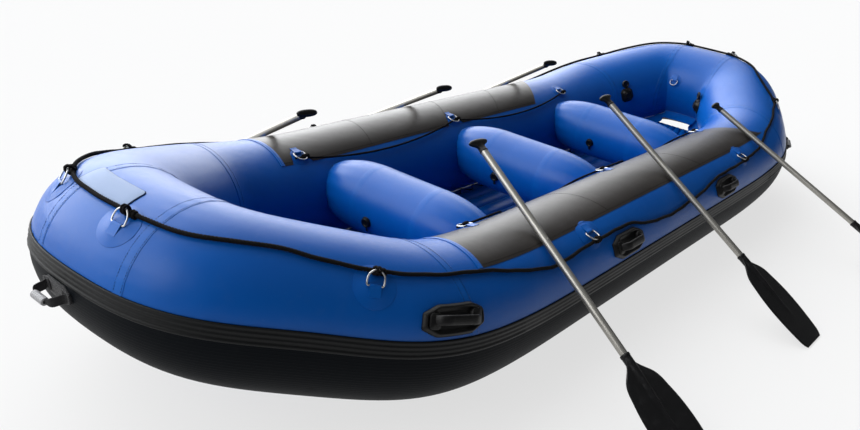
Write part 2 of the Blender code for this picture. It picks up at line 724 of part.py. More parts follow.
def perimeter_route():
    """Evenly spaced points of the perimeter line, which lies on the tube all the way round."""
    length = np.linalg.norm(RING.points[1] - RING.points[0]) * Ring.SAMPLES
    indices = np.linspace(0, Ring.SAMPLES, round(length / LINE_STEP), endpoint=False).astype(int)
    angles = smooth_table(LINE_ROUTE, np.clip(RING.points[indices, 0], -END_X, END_X))
    return [on_tube(i, a, LINE_R + LINE_LIFT) for i, a in zip(indices, angles)]


def make_perimeter_line():
    add_object("perimeter_line", curve_mesh(perimeter_route(), LINE_R, 2, cyclic=True), ROPE)


def inner_route(side):
    """Points of an inner grab line from its first ring to its last, sagging between rings."""
    places = np.linspace(INNER_RING_X[0] - INNER_LINE_TAIL, INNER_RING_X[-1] + INNER_LINE_TAIL,
                         INNER_LINE_POINTS)
    route = []
    for x in places:
        span = np.clip(np.searchsorted(INNER_RING_X, x) - 1, 0, len(INNER_RING_X) - 2)
        start, finish = INNER_RING_X[span], INNER_RING_X[span + 1]
        share = min(max((x - start) / (finish - start), 0.0), 1.0)
        angle = INNER_LINE_ANGLE + INNER_LINE_SAG * 4 * share * (1 - share)
        route.append(on_tube(RING.at_x(x, side), angle, WEAR_T + INNER_LINE_R + LINE_LIFT))
    return route


def make_inner_lines():
    for side_name, side in SIDES.items():
        rings = []
        for x in INNER_RING_X:
            ring = curve_mesh(ring_path(), RING_WIRE_R, 1, cyclic=True)
            seat = RING.seat(RING.at_x(x, side), INNER_RING_ANGLE,
                             WEAR_T + RING_WIRE_R * INNER_RING_LIFT)
            ring.transform(seat @ Matrix.Rotation(math.radians(INNER_RING_TILT), 4, "X"))
            rings.append(ring)
        line = joined(curve_mesh(inner_route(side), INNER_LINE_R, 2), *rings)
        add_object("inner_line_" + side_name, line, ROPE)


# ---- chamber valves -------------------------------------------------------------------
def make_chamber_valves(tube):
    length, width, height = CHAMBER_BOOT
    strap_width, strap_t = CHAMBER_STRAP
    for side_name, (x, angle) in CHAMBER_VALVES.items():
        boot = box_mesh((length, width, height + HANDLE_SOCKET), (0, 0, (height - HANDLE_SOCKET) / 2))
        strap = box_mesh((strap_width, CHAMBER_CAP_STEP, strap_t + HANDLE_SOCKET),
                         (0, -CHAMBER_CAP_STEP / 2, (strap_t - HANDLE_SOCKET) / 2))
        cap = rod_mesh(CHAMBER_CAP_R, -HANDLE_SOCKET, CHAMBER_CAP_T, 16)
        cap.transform(Matrix.Translation((0, -CHAMBER_CAP_STEP, 0)))
        seat = RING.seat(RING.at_x(x, SIDES[side_name]), angle)
        obj = add_object("chamber_valve_" + side_name, joined(boot, strap, cap), PLASTIC, seat)
        cut(obj, tube)


# ---- paddles --------------------------------------------------------------------------
def mirrored(outline):
    return outline + [(-x, z) for x, z in outline[::-1]]


def shaft_mesh():
    """Shaft with its T-grip, in paddle coordinates: Z up the shaft from the blade's tip."""
    neck = PADDLE_LENGTH - GRIP_HEIGHT
    outline = [(GRIP_COLLAR_R, neck - GRIP_COLLAR), (SHAFT_R, neck)]
    outline += [(share * GRIP_WIDTH / 2, neck + height) for share, height in GRIP_OUTLINE]
    grip = plate_mesh(mirrored(outline), GRIP_T)
    grip.transform(Matrix.Rotation(math.pi / 2, 4, "X"))
    shaft = joined(rod_mesh(SHAFT_R, BLADE_LENGTH, neck - GRIP_PLUG, SHAFT_SIDES), grip)
    return carved(shaft, rod_mesh(SHAFT_R - SHAFT_WALL, BLADE_LENGTH - GRIP_SOLID,
                                  neck - GRIP_SOLID, SHAFT_SIDES))


def blade_mesh():
    """Blade with the spigot that plugs the shaft, tip at Z = 0."""
    outline = [(share * BLADE_WIDTH / 2, height) for share, height in BLADE_OUTLINE]
    face = plate_mesh(mirrored(outline), BLADE_T)
    face.transform(Matrix.Rotation(math.pi / 2, 4, "X"))
    neck = rod_mesh(BLADE_NECK_R, BLADE_NECK_LOW, BLADE_LENGTH - GAP, SHAFT_SIDES)
    spigot = rod_mesh(SHAFT_R - SHAFT_WALL - GAP, SPIGOT_LOW, BLADE_LENGTH + SPIGOT_LENGTH,
                      SHAFT_SIDES)
    return joined(face, neck, spigot)


def paddle_frame(x, angle, yaw, side):
    """Placing frame of a paddle leaning on a side tube with its tip on the ground."""
    turn = math.radians(angle)
    lean = Vector((math.tan(math.radians(yaw)), -side * math.sin(turn), math.cos(turn))).normalized()
    clear = TUBE_R + GAP + WEAR_T + PADDLE_REST_GAP + SHAFT_R
    index = RING.at_x(x, side)
    centre = Vector(RING.points[index])
    touch = centre + Vector((0, side * math.cos(turn), math.sin(turn))) * clear
    away = RING.points[RING.half[side]] - np.array(touch)
    away -= np.outer(away @ np.array(lean), np.array(lean))
    short = clear - float(np.linalg.norm(away, axis=1).min())
    touch += Vector((0, side * math.cos(turn), math.sin(turn))) * short
    width = Vector((0, 0, 1)).cross(lean).normalized()
    face = lean.cross(width)
    low = BLADE_T / 2 * abs(face.z)
    frame = Matrix((width, face, lean)).transposed().to_4x4()
    frame.translation = touch - lean * (touch.z - low) / lean.z
    return frame


def make_paddles():
    shaft, blade = shaft_mesh(), blade_mesh()
    for side_name, places in (("port", PADDLE_PORT), ("starboard", PADDLE_STARBOARD)):
        for number, (x, angle, yaw) in enumerate(places, 1):
            frame = paddle_frame(x, angle, yaw, SIDES[side_name])
            label = "paddle_%s_%d" % (side_name, number)
            add_object(label + "_shaft", shaft, ALUMINIUM, frame)
            add_object(label + "_blade", blade, PLASTIC, frame)


def finish_shading():
    for obj in PARTS.objects:
        obj.data.shade_smooth()
        obj.data.set_sharp_from_angle(angle=math.radians(35))


def main():
    tube = ring_cutter(GAP)
    wrap = cutter("wrap_solid", ring_skin(GAP + WRAP_T + GAP))
    make_tube_panels()
    make_wraps()
    make_wear_patches()
    make_thwarts(tube)
    make_valve_caps()
    make_floor()
    make_handles(tube)
    make_end_loops(wrap)
    make_d_rings()
    make_perimeter_line()
    make_inner_lines()
    make_chamber_valves(tube)
    make_paddles()
    finish_shading()


main()
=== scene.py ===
"""Six-person whitewater raft: welded panels, rubbing bands, ropes, fittings and paddles
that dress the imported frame. Metres, +Z up, +X towards the stern, +Y to starboard."""
import math

import bmesh
import bpy
import numpy as np
from mathutils import Matrix, Vector


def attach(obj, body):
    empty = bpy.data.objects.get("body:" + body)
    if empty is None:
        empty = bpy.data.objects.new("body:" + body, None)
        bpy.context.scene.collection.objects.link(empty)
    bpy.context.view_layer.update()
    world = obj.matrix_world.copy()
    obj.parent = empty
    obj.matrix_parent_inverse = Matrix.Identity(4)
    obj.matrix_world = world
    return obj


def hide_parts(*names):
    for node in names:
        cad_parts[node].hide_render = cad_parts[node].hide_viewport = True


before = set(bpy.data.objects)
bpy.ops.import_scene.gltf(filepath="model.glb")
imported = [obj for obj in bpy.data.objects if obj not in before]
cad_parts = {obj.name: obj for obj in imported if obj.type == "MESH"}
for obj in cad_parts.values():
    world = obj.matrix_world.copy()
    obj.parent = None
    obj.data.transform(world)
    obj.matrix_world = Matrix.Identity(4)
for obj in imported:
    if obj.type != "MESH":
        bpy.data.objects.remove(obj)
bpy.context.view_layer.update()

# ---- sizes of the frame ---------------------------------------------------------------
GAP = 0.0003
TUBE_R = 0.25
HALF_BEAM = 0.5635
KICK_START_X = 0.957
SHOULDER_X = 1.492
SHOULDER_RISE = 0.053
END_X = 2.037
END_HALF_WIDTH = 0.254
END_RISE = 0.218
CORNER_BLEND = 0.125
SIDE_SEAM_X = 1.46
MITRE_OUTER_Y = 0.19
MITRE_INNER_Y = 0.15
WRAP_T = 0.002
WRAP_TOP = 12.6
WRAP_SPAN = 135.0
WRAP_SEAM_X = 1.20
TUBE_Z = TUBE_R + WRAP_T + GAP
WEAR_T = 0.0015
WEAR_ANGLES = (58.6, 129.0)
WEAR_ENDS_X = {"port": (-1.35, 1.31), "starboard": (-1.19, 0.98)}
WEAR_POINT = 0.30
THWART_X = (-0.881, -0.002, 0.914)
THWART_R, THWART_Z, THWART_HALF, THWART_DOME, THWART_POWER = 0.147, 0.327, 0.44, 0.283, 0.8
THWART_VALVE_Y, THWART_VALVE_ANGLE = 0.073, -168.0
VALVE_CAP_R, VALVE_CAP_T, CAP_HINGE_OUT, CAP_HINGE_UP = 0.021, 0.010, 0.007, 0.0035
FLOOR_T, FLOOR_RIB, FLOOR_RIBS, FLOOR_END_X, FLOOR_SIDE_GAP = 0.095, 0.012, 8, 1.82, 0.008
FLOOR_VALVE_X = 0.45
HANDLE_X = (-1.493, -0.443, 0.600)
HANDLE_LENGTH, HANDLE_WIDTH, HANDLE_CHAMFER = 0.242, 0.096, (0.055, 0.024)
HANDLE_BAR_LENGTH, HANDLE_BAR_WIDTH, HANDLE_BAR_T, HANDLE_REACH = 0.178, 0.030, 0.012, 0.046
HANDLE_ANGLE = WRAP_TOP + 2.5 + math.degrees(HANDLE_WIDTH / 2 / TUBE_R)
LOOP_BOW_Y, LOOP_STERN_X, LOOP_ANGLE = 0.055, 1.69, -8.0
LOOP_REACH, LOOP_BASE = 0.052, (0.150, 0.060)
SLEEVE_LENGTH, SLEEVE_R, SLEEVE_BORE = 0.062, 0.0125, 0.0066
RING_WIDTH, RING_HEIGHT, RING_WIRE_R, RING_TILT, RING_LIFT = 0.060, 0.048, 0.0027, 23.0, 0.0012
RING_SIDE = ((-1.700, 46.5, False), (-0.671, 51.0, True), (0.890, 51.0, True), (1.700, 47.0, False))
RING_BOW_Y, RING_STERN_Y = (-0.070, 0.198), (-0.135, 0.135)
RING_END_ANGLE = {"bow": 51.0, "stern": 66.0}
LINE_R = 0.0055
ROPE_R = LINE_R * 1.30          # laid rope, over its strands
LINE_ROUTE = (
    (-2.037, 60.0), (-1.95, 63.5), (-1.85, 60.0), (-1.70, 56.5), (-1.54, 58.0), (-1.31, 54.0),
    (-1.12, 44.5), (-1.00, 40.0), (-0.85, 40.0), (-0.671, 42.0), (-0.51, 41.6), (-0.36, 40.0),
    (-0.27, 34.5), (-0.066, 30.0), (0.168, 31.5), (0.42, 36.8), (0.52, 40.0), (0.67, 40.8),
    (0.79, 40.6), (0.89, 42.0), (1.139, 45.0), (1.38, 57.0), (1.60, 60.0), (1.70, 57.0),
    (1.81, 67.0), (1.90, 74.0), (2.037, 76.0))
INNER_LINE_R, INNER_RING_X, INNER_RING_ANGLE = 0.005, (-1.075, -0.050, 0.980), 118.0
INNER_RING_TILT, INNER_LINE_TAIL = 8.0, 0.035
INNER_LINE_ANGLE, INNER_LINE_SAG, PORT_SLACK = 124.0, 12.0, 17.0
PADDLE_LENGTH = 1.40
PADDLES = {"port": ((-0.953, 58.4, 8.1), (0.118, 57.7, 1.3), (1.122, 64.1, -2.0)),
           "starboard": ((-1.017, 60.0, -12.4), (-0.121, 60.9, -13.7), (0.809, 58.7, -16.8))}
PADDLE_REST_GAP, SHAFT_R, SHAFT_WALL = 0.014 * TUBE_R, 0.0145, 0.0018
BLADE_LENGTH, BLADE_WIDTH, BLADE_T, BLADE_NECK_R = 0.46, 0.20, 0.007, 0.017
BLADE_OUTLINE = ((0.90, 0.0), (1.0, 0.05), (1.0, 0.30), (0.80, 0.365), (0.22, 0.425),
                 (0.136, 0.445))
GRIP_HEIGHT = 0.060
CHAMBER_VALVES = {"port": (1.88, 180.0), "starboard": (1.66, 165.0)}
CHAMBER_CAP_R, CHAMBER_CAP_STEP = 0.024, 0.070
SNAP_BUTTON_Z = 0.93            # on the shaft, above the blade's tip
VIEW_PLACE, VIEW_TURN = (-3.393, -2.038, 1.707), (-0.979, 0.358, 0.1372)  # azimuth, elevation, roll
VIEW_LENS, VIEW_SHIFT = 36.16, (-0.0596, -0.0381)
SIDES = {"port": -1, "starboard": 1}
ENDS = {"bow": -1, "stern": 1}

# ---- sizes of the finish --------------------------------------------------------------
SKIN = 0.0015
ROUND = 120                  # facets round the main tube
PANEL_STEP = 0.022
TAPE_WIDTH, TAPE_T = 0.036, 0.0008
PUCKER, PUCKER_REACH, PUCKER_COUNT = 0.0007, 0.045, 34
PATCH_R = 0.068              # round patch under a D-ring
ROPE_LAY = 0.030
STITCH_STEP = 0.009


# ---- the hull's surface ---------------------------------------------------------------
class Hull:
    """Closed centreline of the main tube, bow, port, stern, starboard, and its skin."""

    SAMPLES = 4096

    def __init__(self):
        share = np.linspace(0.0, 1.0, 12)
        kick = [(KICK_START_X + (SHOULDER_X - KICK_START_X) * t, HALF_BEAM, SHOULDER_RISE * t * t)
                for t in share]
        quarter = np.array([(0.0, HALF_BEAM, 0.0), *kick, (END_X, END_HALF_WIDTH, END_RISE),
                            (END_X, 0.0, END_RISE)])
        loop = np.concatenate([quarter[::-1] * (-1, -1, 1), (quarter * (1, -1, 1))[1:],
                               quarter[::-1][1:], (quarter * (-1, 1, 1))[1:]])
        length = np.concatenate([[0.0], np.cumsum(np.linalg.norm(np.diff(loop, axis=0), axis=1))])
        step = length[-1] / self.SAMPLES
        even = np.arange(self.SAMPLES) * step
        loop = np.stack([np.interp(even, length, loop[:, i]) for i in range(3)], axis=1)
        waves = np.fft.fftfreq(self.SAMPLES, d=step)
        soften = np.exp(-2.0 * (math.pi * waves * CORNER_BLEND) ** 2)[:, None]
        self.points = np.fft.ifft(np.fft.fft(loop, axis=0) * soften, axis=0).real
        self.points[:, 2] += TUBE_Z
        ahead = np.roll(self.points, -1, axis=0) - np.roll(self.points, 1, axis=0)
        self.along = ahead / np.linalg.norm(ahead, axis=1)[:, None]
        outward = np.cross(self.along, (0.0, 0.0, 1.0))
        self.outward = outward / np.linalg.norm(outward, axis=1)[:, None]
        self.up = np.cross(self.outward, self.along)
        half = self.SAMPLES // 2
        self.half = {-1: np.arange(0, half + 1), 1: np.arange(half, self.SAMPLES)}

    def near_x(self, x, side):
        choice = self.half[side]
        return int(choice[np.abs(self.points[choice, 0] - x).argmin()])

    def near_y(self, y, end):
        choice = np.nonzero(self.points[:, 0] * end > SHOULDER_X)[0]
        return int(choice[np.abs(self.points[choice, 1] - y).argmin()])

    def read(self, values, place):
        low = np.floor(place).astype(int)
        share = (place - low)[..., None]
        return (values[low % self.SAMPLES] * (1 - share)
                + values[(low + 1) % self.SAMPLES] * share)

    def places_at(self, x, side):
        """Places along one side of the hull, between its samples, for these X."""
        samples = self.half[side]
        order = np.argsort(self.points[samples, 0])
        return np.interp(x, self.points[samples][order, 0], samples[order].astype(float))

    def skin(self, place, angle, lift=0.0):
        """Points on the tube at these sample places and angles (degrees), lifted off it."""
        place, angle, lift = np.broadcast_arrays(np.asarray(place, float), angle, lift)
        turn = np.radians(angle)[..., None]
        out = (np.cos(turn) * self.read(self.outward, place)
               + np.sin(turn) * self.read(self.up, place))
        return self.read(self.points, place) + (TUBE_R + lift)[..., None] * out

    def pace(self, place, angle):
        """Metres along the skin for one sample."""
        return np.linalg.norm(self.skin(place + 1.0, angle) - self.skin(place - 1.0, angle),
                              axis=-1) / 2

    def seat(self, place, angle, lift=0.0):
        """Placing frame on the tube: X along it, Y up its slope, Z straight out."""
        turn = math.radians(angle)
        out = math.cos(turn) * self.outward[place] + math.sin(turn) * self.up[place]
        slope = math.cos(turn) * self.up[place] - math.sin(turn) * self.outward[place]
        seat = np.eye(4)
        seat[:3, 0], seat[:3, 1], seat[:3, 2] = self.along[place], slope, out
        seat[:3, 3] = self.points[place] + (TUBE_R + lift) * out
        return Matrix(seat.tolist())

    def drape(self, flat, place, angle, turn=0.0):
        """Lay flat shapes (along, up the slope, out) on the tube round one spot."""
        c, s = math.cos(math.radians(turn)), math.sin(math.radians(turn))
        along = flat[..., 0] * c - flat[..., 1] * s
        slope = flat[..., 0] * s + flat[..., 1] * c
        return self.skin(place + along / self.pace(float(place), angle),
                         angle + np.degrees(slope / TUBE_R), flat[..., 2])

    def crossing(self, point, normal, low, high, angles):
        """Sample place at which the skin crosses a plane, for each angle."""
        places = np.linspace(low, high, 500)
        skin = self.skin(places[:, None], angles[None, :])
        apart = (skin - np.array(point)) @ np.array(normal, float)
        first = (np.sign(apart[:-1]) != np.sign(apart[1:])).argmax(axis=0)
        column = np.arange(len(angles))
        before, after = apart[first, column], apart[first + 1, column]
        return places[first] + (places[1] - places[0]) * before / (before - after)


HULL = Hull()


# ---- shapes ---------------------------------------------------------------------------
def flat_map(points):
    """Rough metres across a grid of points, as its UV map."""
    across = np.linalg.norm(np.diff(points, axis=1), axis=2)
    down = np.linalg.norm(np.diff(points, axis=0), axis=2)
    u = np.concatenate([[0.0], np.cumsum(across.mean(axis=0))])
    v = np.concatenate([[0.0], np.cumsum(down.mean(axis=1))])
    return np.stack(np.broadcast_arrays(v[:, None], u[None, :]), axis=2)


def grid(points, flat=None):
    points = np.asarray(points, float)
    return points, flat_map(points) if flat is None else flat


def slab(top, bottom, flat=None, ring=False):
    """A closed slab between two grids; a ring has no side walls."""
    flat = flat_map(top) if flat is None else flat
    walls = [grid(top, flat), grid(bottom[::-1], flat[::-1])]
    for row in (0, -1):
        walls.append(grid(np.stack([top[row], bottom[row]]), np.stack([flat[row], flat[row]])))
    if not ring:
        for column in (0, -1):
            walls.append(grid(np.stack([top[:, column], bottom[:, column]]),
                              np.stack([flat[:, column], flat[:, column]])))
    return walls


def closed(loops, capped=True):
    """A tube through closed loops of points, its ends drawn in to their middles."""
    loops = np.asarray(loops, float)
    loops = np.concatenate([loops, loops[:, :1]], axis=1)
    if capped:
        ends = [np.repeat(loops[i, :-1].mean(axis=0)[None, None], loops.shape[1], axis=1)
                for i in (0, -1)]
        loops = np.concatenate([ends[0], loops, ends[1]])
    return grid(loops)


def turned(profile, sides=32):
    """A profile of (radius, height) turned about Z."""
    angle = np.linspace(0.0, 2 * math.pi, sides + 1)
    profile = np.asarray(profile, float)
    return grid(np.stack([profile[:, :1] * np.cos(angle), profile[:, :1] * np.sin(angle),
                          np.repeat(profile[:, 1:], sides + 1, axis=1)], axis=2))


def circle(radius, sides=16):
    angle = np.arange(sides) * 2 * math.pi / sides
    return np.stack([radius * np.cos(angle), radius * np.sin(angle)], axis=1)


def rounded(outline, rounds=2):
    """Cut the corners of a closed outline until it is smooth."""
    outline = np.asarray(outline, float)
    for _ in range(rounds):
        ahead = np.roll(outline, -1, axis=0)
        outline = np.stack([outline * 0.75 + ahead * 0.25, outline * 0.25 + ahead * 0.75],
                           axis=1).reshape(-1, outline.shape[1])
    return outline


def spread(outline, count):
    """Points evenly along a closed outline."""
    loop = np.concatenate([outline, outline[:1]])
    length = np.concatenate([[0.0], np.cumsum(np.linalg.norm(np.diff(loop, axis=0), axis=1))])
    even = np.arange(count) / count * length[-1]
    return np.stack([np.interp(even, length, loop[:, i]) for i in range(loop.shape[1])], axis=1)


def smooth_path(points, count):
    """A smooth run (Catmull-Rom) through points, read at even steps."""
    points = np.asarray(points, float)
    knots = np.concatenate([[0.0], np.cumsum(np.linalg.norm(np.diff(points, axis=0), axis=1))])
    wanted = np.linspace(0.0, knots[-1], count)
    return np.stack([hermite(knots, points[:, i], wanted) for i in range(points.shape[1])], axis=1)


def hermite(place, value, wanted):
    slope = np.gradient(value, place)
    index = np.clip(np.searchsorted(place, wanted) - 1, 0, len(place) - 2)
    width = place[index + 1] - place[index]
    t = np.clip((wanted - place[index]) / width, 0.0, 1.0)
    return ((1 + 2 * t) * (1 - t) ** 2 * value[index] + t * (1 - t) ** 2 * width * slope[index]
            + t * t * (3 - 2 * t) * value[index + 1] + t * t * (t - 1) * width * slope[index + 1])


def swept(path, section, up=(0, 0, 1), loop=False):
    """A section (across, up) carried along a path. Across is square to the path and to up."""
    path = np.asarray(path, float)
    if loop:
        ahead = np.roll(path, -1, axis=0) - np.roll(path, 1, axis=0)
    else:
        ahead = np.gradient(path, axis=0)
    ahead /= np.linalg.norm(ahead, axis=1)[:, None]
    across = np.cross(ahead, up)
    across /= np.linalg.norm(across, axis=1)[:, None]
    over = np.cross(across, ahead)
    section = np.asarray(section, float)
    section = np.broadcast_to(section, (len(path),) + section.shape[-2:])
    loops = (path[:, None] + section[..., :1] * across[:, None] + section[..., 1:] * over[:, None])
    if loop:
        loops = np.concatenate([loops, loops[:1]])
    return closed(loops, not loop)


def placed(matrix, *grids):
    matrix = np.array(matrix)
    return [(points @ matrix[:3, :3].T + matrix[:3, 3], flat) for points, flat in grids]


def draped(place, angle, *grids, turn=0.0):
    return [(HULL.drape(points, place, angle, turn), flat) for points, flat in grids]


def welded(name, grids, sharp=35.0):
    """One mesh of closed shells, faces outward, with metres in its UV map."""
    points, quads, flats, start = [], [], [], 0
    for place, flat in grids:
        rows, columns = place.shape[:2]
        ids = start + np.arange(rows * columns).reshape(rows, columns)
        quads.append(np.stack([ids[:-1, :-1], ids[:-1, 1:], ids[1:, 1:], ids[1:, :-1]],
                              axis=2).reshape(-1, 4))
        points.append(place.reshape(-1, 3))
        flats.append(flat.reshape(-1, 2))
        start += rows * columns
    points, quads, flats = (np.concatenate(item) for item in (points, quads, flats))
    mesh = bpy.data.meshes.new(name)
    mesh.from_pydata(points.tolist(), [], quads.tolist())
    layer = mesh.uv_layers.new(name="Flat")
    layer.uv.foreach_set("vector", flats[quads.ravel()].astype(np.float32).ravel())
    work = bmesh.new()
    work.from_mesh(mesh)
    bmesh.ops.remove_doubles(work, verts=work.verts, dist=3e-6)
    bmesh.ops.dissolve_degenerate(work, edges=work.edges, dist=1e-7)
    bmesh.ops.recalc_face_normals(work, faces=work.faces)
    work.to_mesh(mesh)
    work.free()
    mesh.shade_smooth()
    mesh.set_sharp_from_angle(angle=math.radians(sharp))
    return mesh


def piece(name, mesh, body, finish, stands_for=()):
    """Put a finished mesh on its body."""
    mesh.materials.clear()
    mesh.materials.append(finish)
    obj = bpy.data.objects.new(name, mesh)
    bpy.context.scene.collection.objects.link(obj)
    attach(obj, body)
    if stands_for:
        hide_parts(*stands_for)
    return obj


def shell(name, grids, body, finish, stands_for=(), sharp=35.0):
    """A piece made of closed shells."""
    return piece(name, welded(name, grids, sharp), body, finish, stands_for)


# ---- node graphs ----------------------------------------------------------------------
class Wire:
    """A socket whose arithmetic adds the nodes that work it out."""

    def __init__(self, graph, socket):
        self.graph, self.socket = graph, socket

    def math(self, operation, *values):
        return self.graph.add("ShaderNodeMath", {"operation": operation},
                              dict(enumerate(values)))[0]

    def __add__(self, other):
        return self.math("ADD", self, other)

    def __sub__(self, other):
        return self.math("SUBTRACT", self, other)

    def __rsub__(self, other):
        return self.math("SUBTRACT", other, self)

    def __mul__(self, other):
        return self.math("MULTIPLY", self, other)

    def __truediv__(self, other):
        return self.math("DIVIDE", self, other)

    def __pow__(self, other):
        return self.math("POWER", self, other)

    __radd__, __rmul__ = __add__, __mul__

    def sine(self):
        return self.math("SINE", self)

    def cosine(self):
        return self.math("COSINE", self)

    def step(self, low, high):
        """0 below low, 1 above high, smooth between them."""
        return self.graph.add("ShaderNodeMapRange", {"interpolation_type": "SMOOTHSTEP"},
                              {"Value": self, "From Min": low, "From Max": high})[0]


class Outputs:
    def __init__(self, graph, node):
        self.graph, self.node = graph, node

    def __getitem__(self, key):
        return Wire(self.graph, self.node.outputs[key])


class Graph:
    """One node tree, built through a single method."""

    def __init__(self, tree):
        self.tree = tree

    def add(self, kind, settings=None, sockets=None):
        node = self.tree.nodes.new(kind)
        for key, value in (settings or {}).items():
            setattr(node, key, value)
        for key, value in (sockets or {}).items():
            self.feed(node.inputs[key], value)
        return Outputs(self, node)

    def feed(self, socket, value):
        if isinstance(value, Outputs):
            value = value[0]
        if isinstance(value, Wire):
            self.tree.links.new(value.socket, socket)
        elif isinstance(value, list):
            for item in value:
                self.feed(socket, item)
        else:
            socket.default_value = value


class Finish(Graph):
    """A material under way: patterns first, then what they feed."""

    def __init__(self, name, **constants):
        self.material = bpy.data.materials.new(name)
        self.material.use_nodes = True
        super().__init__(self.material.node_tree)
        self.shader = self.tree.nodes["Principled BSDF"]
        for key, value in constants.items():
            self.shader.inputs[key.replace("_", " ")].default_value = value
        self.here = self.add("ShaderNodeTexCoord")

    def stretched(self, source, scale):
        return self.add("ShaderNodeMapping", {}, {"Vector": self.here[source], "Scale": scale})[0]

    def noise(self, scale, detail=3.0, rough=0.55, where=None):
        return self.add("ShaderNodeTexNoise", {},
                        {"Vector": where or self.here["Object"], "Scale": scale, "Detail": detail,
                         "Roughness": rough})[0]

    def blend(self, share, first, second):
        mix = self.add("ShaderNodeMix", {"data_type": "RGBA"}, {"Factor": share})
        self.feed(mix.node.inputs[6], first if isinstance(first, Wire) else (*first, 1.0))
        self.feed(mix.node.inputs[7], second if isinstance(second, Wire) else (*second, 1.0))
        return mix[2]

    def weave(self, pitch):
        """Over-and-under threads on the piece's own map, from 0 to 1."""
        parts = self.add("ShaderNodeSeparateXYZ", {}, {0: self.here["UV"]})
        turn = 2 * math.pi / pitch
        return (parts[0] * turn).sine() * (parts[1] * turn).sine() * 0.5 + 0.5

    def wear(self, colour, roughness, height, distance, strength=1.0):
        self.feed(self.shader.inputs["Base Color"], colour)
        self.feed(self.shader.inputs["Roughness"], roughness)
        bump = self.add("ShaderNodeBump", {}, {"Height": height, "Distance": distance,
                                               "Strength": strength})
        self.feed(self.shader.inputs["Normal"], bump[0])
        return self.material


def coated_fabric(name, deep, pale, gloss, pitch=0.0016, **constants):
    """Coated cloth under tension: fine weave, slow mottling, rubbed and dusty spots."""
    f = Finish(name, **constants)
    cloud = f.noise(2.6, 4.0)
    ripple = f.noise(9.0, 2.0)
    scuff = f.noise(34.0, 6.0, 0.7, f.stretched("Object", (0.35, 1.0, 1.0))).step(0.60, 0.80)
    dust = f.noise(11.0, 8.0, 0.75).step(0.52, 0.78)
    colour = f.blend(scuff * 0.05 + dust * 0.02, f.blend(cloud, deep, pale), (0.34, 0.40, 0.48))
    roughness = gloss + cloud * 0.10 + scuff * 0.16 + dust * 0.06
    height = f.weave(pitch) * 0.05 + ripple * 0.9 + f.noise(240.0, 2.0) * 0.05
    return f.wear(colour, roughness, height, 0.0016)


def chafe_rubber():
    f = Finish("chafe_rubber", **{"Specular IOR Level": 0.03})
    parts = f.add("ShaderNodeSeparateXYZ", {}, {0: f.here["UV"]})
    lines = (parts[1] * (2 * math.pi / 0.011)).sine().step(0.55, 0.95)
    scrape = f.noise(20.0, 8.0, 0.75, f.stretched("Object", (0.12, 1.0, 1.0))).step(0.56, 0.76)
    low = f.add("ShaderNodeSeparateXYZ", {}, {0: f.here["Object"]})[2]
    dust = (1.0 - low.step(0.0, 0.16)) * f.noise(6.0, 8.0, 0.7).step(0.35, 0.75)
    colour = f.blend(scrape * 0.12 + dust * 0.15, (0.0035, 0.0045, 0.006), (0.050, 0.048, 0.046))
    roughness = 0.50 + scrape * 0.2 + dust * 0.25
    return f.wear(colour, roughness, lines * 0.35 + f.noise(150.0, 4.0) * 0.2, 0.0010)


def strake_rubber():
    f = Finish("strake_rubber", **{"Specular IOR Level": 0.14})
    cloud = f.noise(5.0, 6.0, 0.65)
    colour = f.blend(cloud, (0.0035, 0.004, 0.0045), (0.008, 0.0085, 0.009))
    rub = f.noise(26.0, 6.0, 0.7).step(0.58, 0.75)
    return f.wear(f.blend(rub * 0.3, colour, (0.026, 0.026, 0.026)), 0.36 + cloud * 0.2,
                  f.noise(180.0, 3.0), 0.0006)


def moulded(name, dark, worn, gloss, grain=420.0, **constants):
    """Moulded plastic or rubber: pebbled skin, paler where hands rub it."""
    f = Finish(name, **constants)
    pebble = f.add("ShaderNodeTexVoronoi", {"feature": "SMOOTH_F1"},
                   {"Vector": f.here["Object"], "Scale": grain, "Smoothness": 0.6})[0]
    rub = f.noise(38.0, 6.0, 0.7).step(0.52, 0.74)
    cloud = f.noise(12.0, 3.0)
    return f.wear(f.blend(rub * 0.6, dark, worn), gloss + cloud * 0.14 + rub * 0.1,
                  pebble * 0.7 + cloud * 0.3, 0.0005)


def metal(name, pale, dull, gloss, along=(1.0, 1.0, 1.0), **constants):
    """Bare metal: drawing lines, smudges and small nicks."""
    f = Finish(name, Metallic=1.0, **constants)
    drawn = f.noise(130.0, 4.0, 0.6, f.stretched("Object", along))
    smudge = f.noise(24.0, 5.0, 0.65)
    nick = f.noise(300.0, 3.0, 0.6).step(0.68, 0.76)
    return f.wear(f.blend(smudge * 0.55 + nick * 0.35, pale, dull),
                  gloss + smudge * 0.16 + drawn * 0.10, drawn * 0.5 + nick * -0.6, 0.0003)


def rope_yarn(name, dark, fleck):
    f = Finish(name, **{"Specular IOR Level": 0.08})
    yarn = f.noise(900.0, 3.0, 0.6, f.stretched("Object", (0.4, 0.4, 0.4)))
    fade = f.noise(14.0, 4.0, 0.6)
    colour = f.blend(yarn.step(0.50, 0.72) * 0.6 + fade * 0.2, dark, fleck)
    return f.wear(colour, 0.75 + yarn * 0.2, yarn, 0.0008)


def webbing():
    f = Finish("black_webbing", Sheen_Weight=0.15, **{"Specular IOR Level": 0.25})
    fade = f.noise(30.0, 5.0, 0.65)
    return f.wear(f.blend(fade.step(0.45, 0.75) * 0.5, (0.006, 0.006, 0.008), (0.035, 0.034, 0.034)),
                  0.62 + fade * 0.2, f.weave(0.0032), 0.0007)


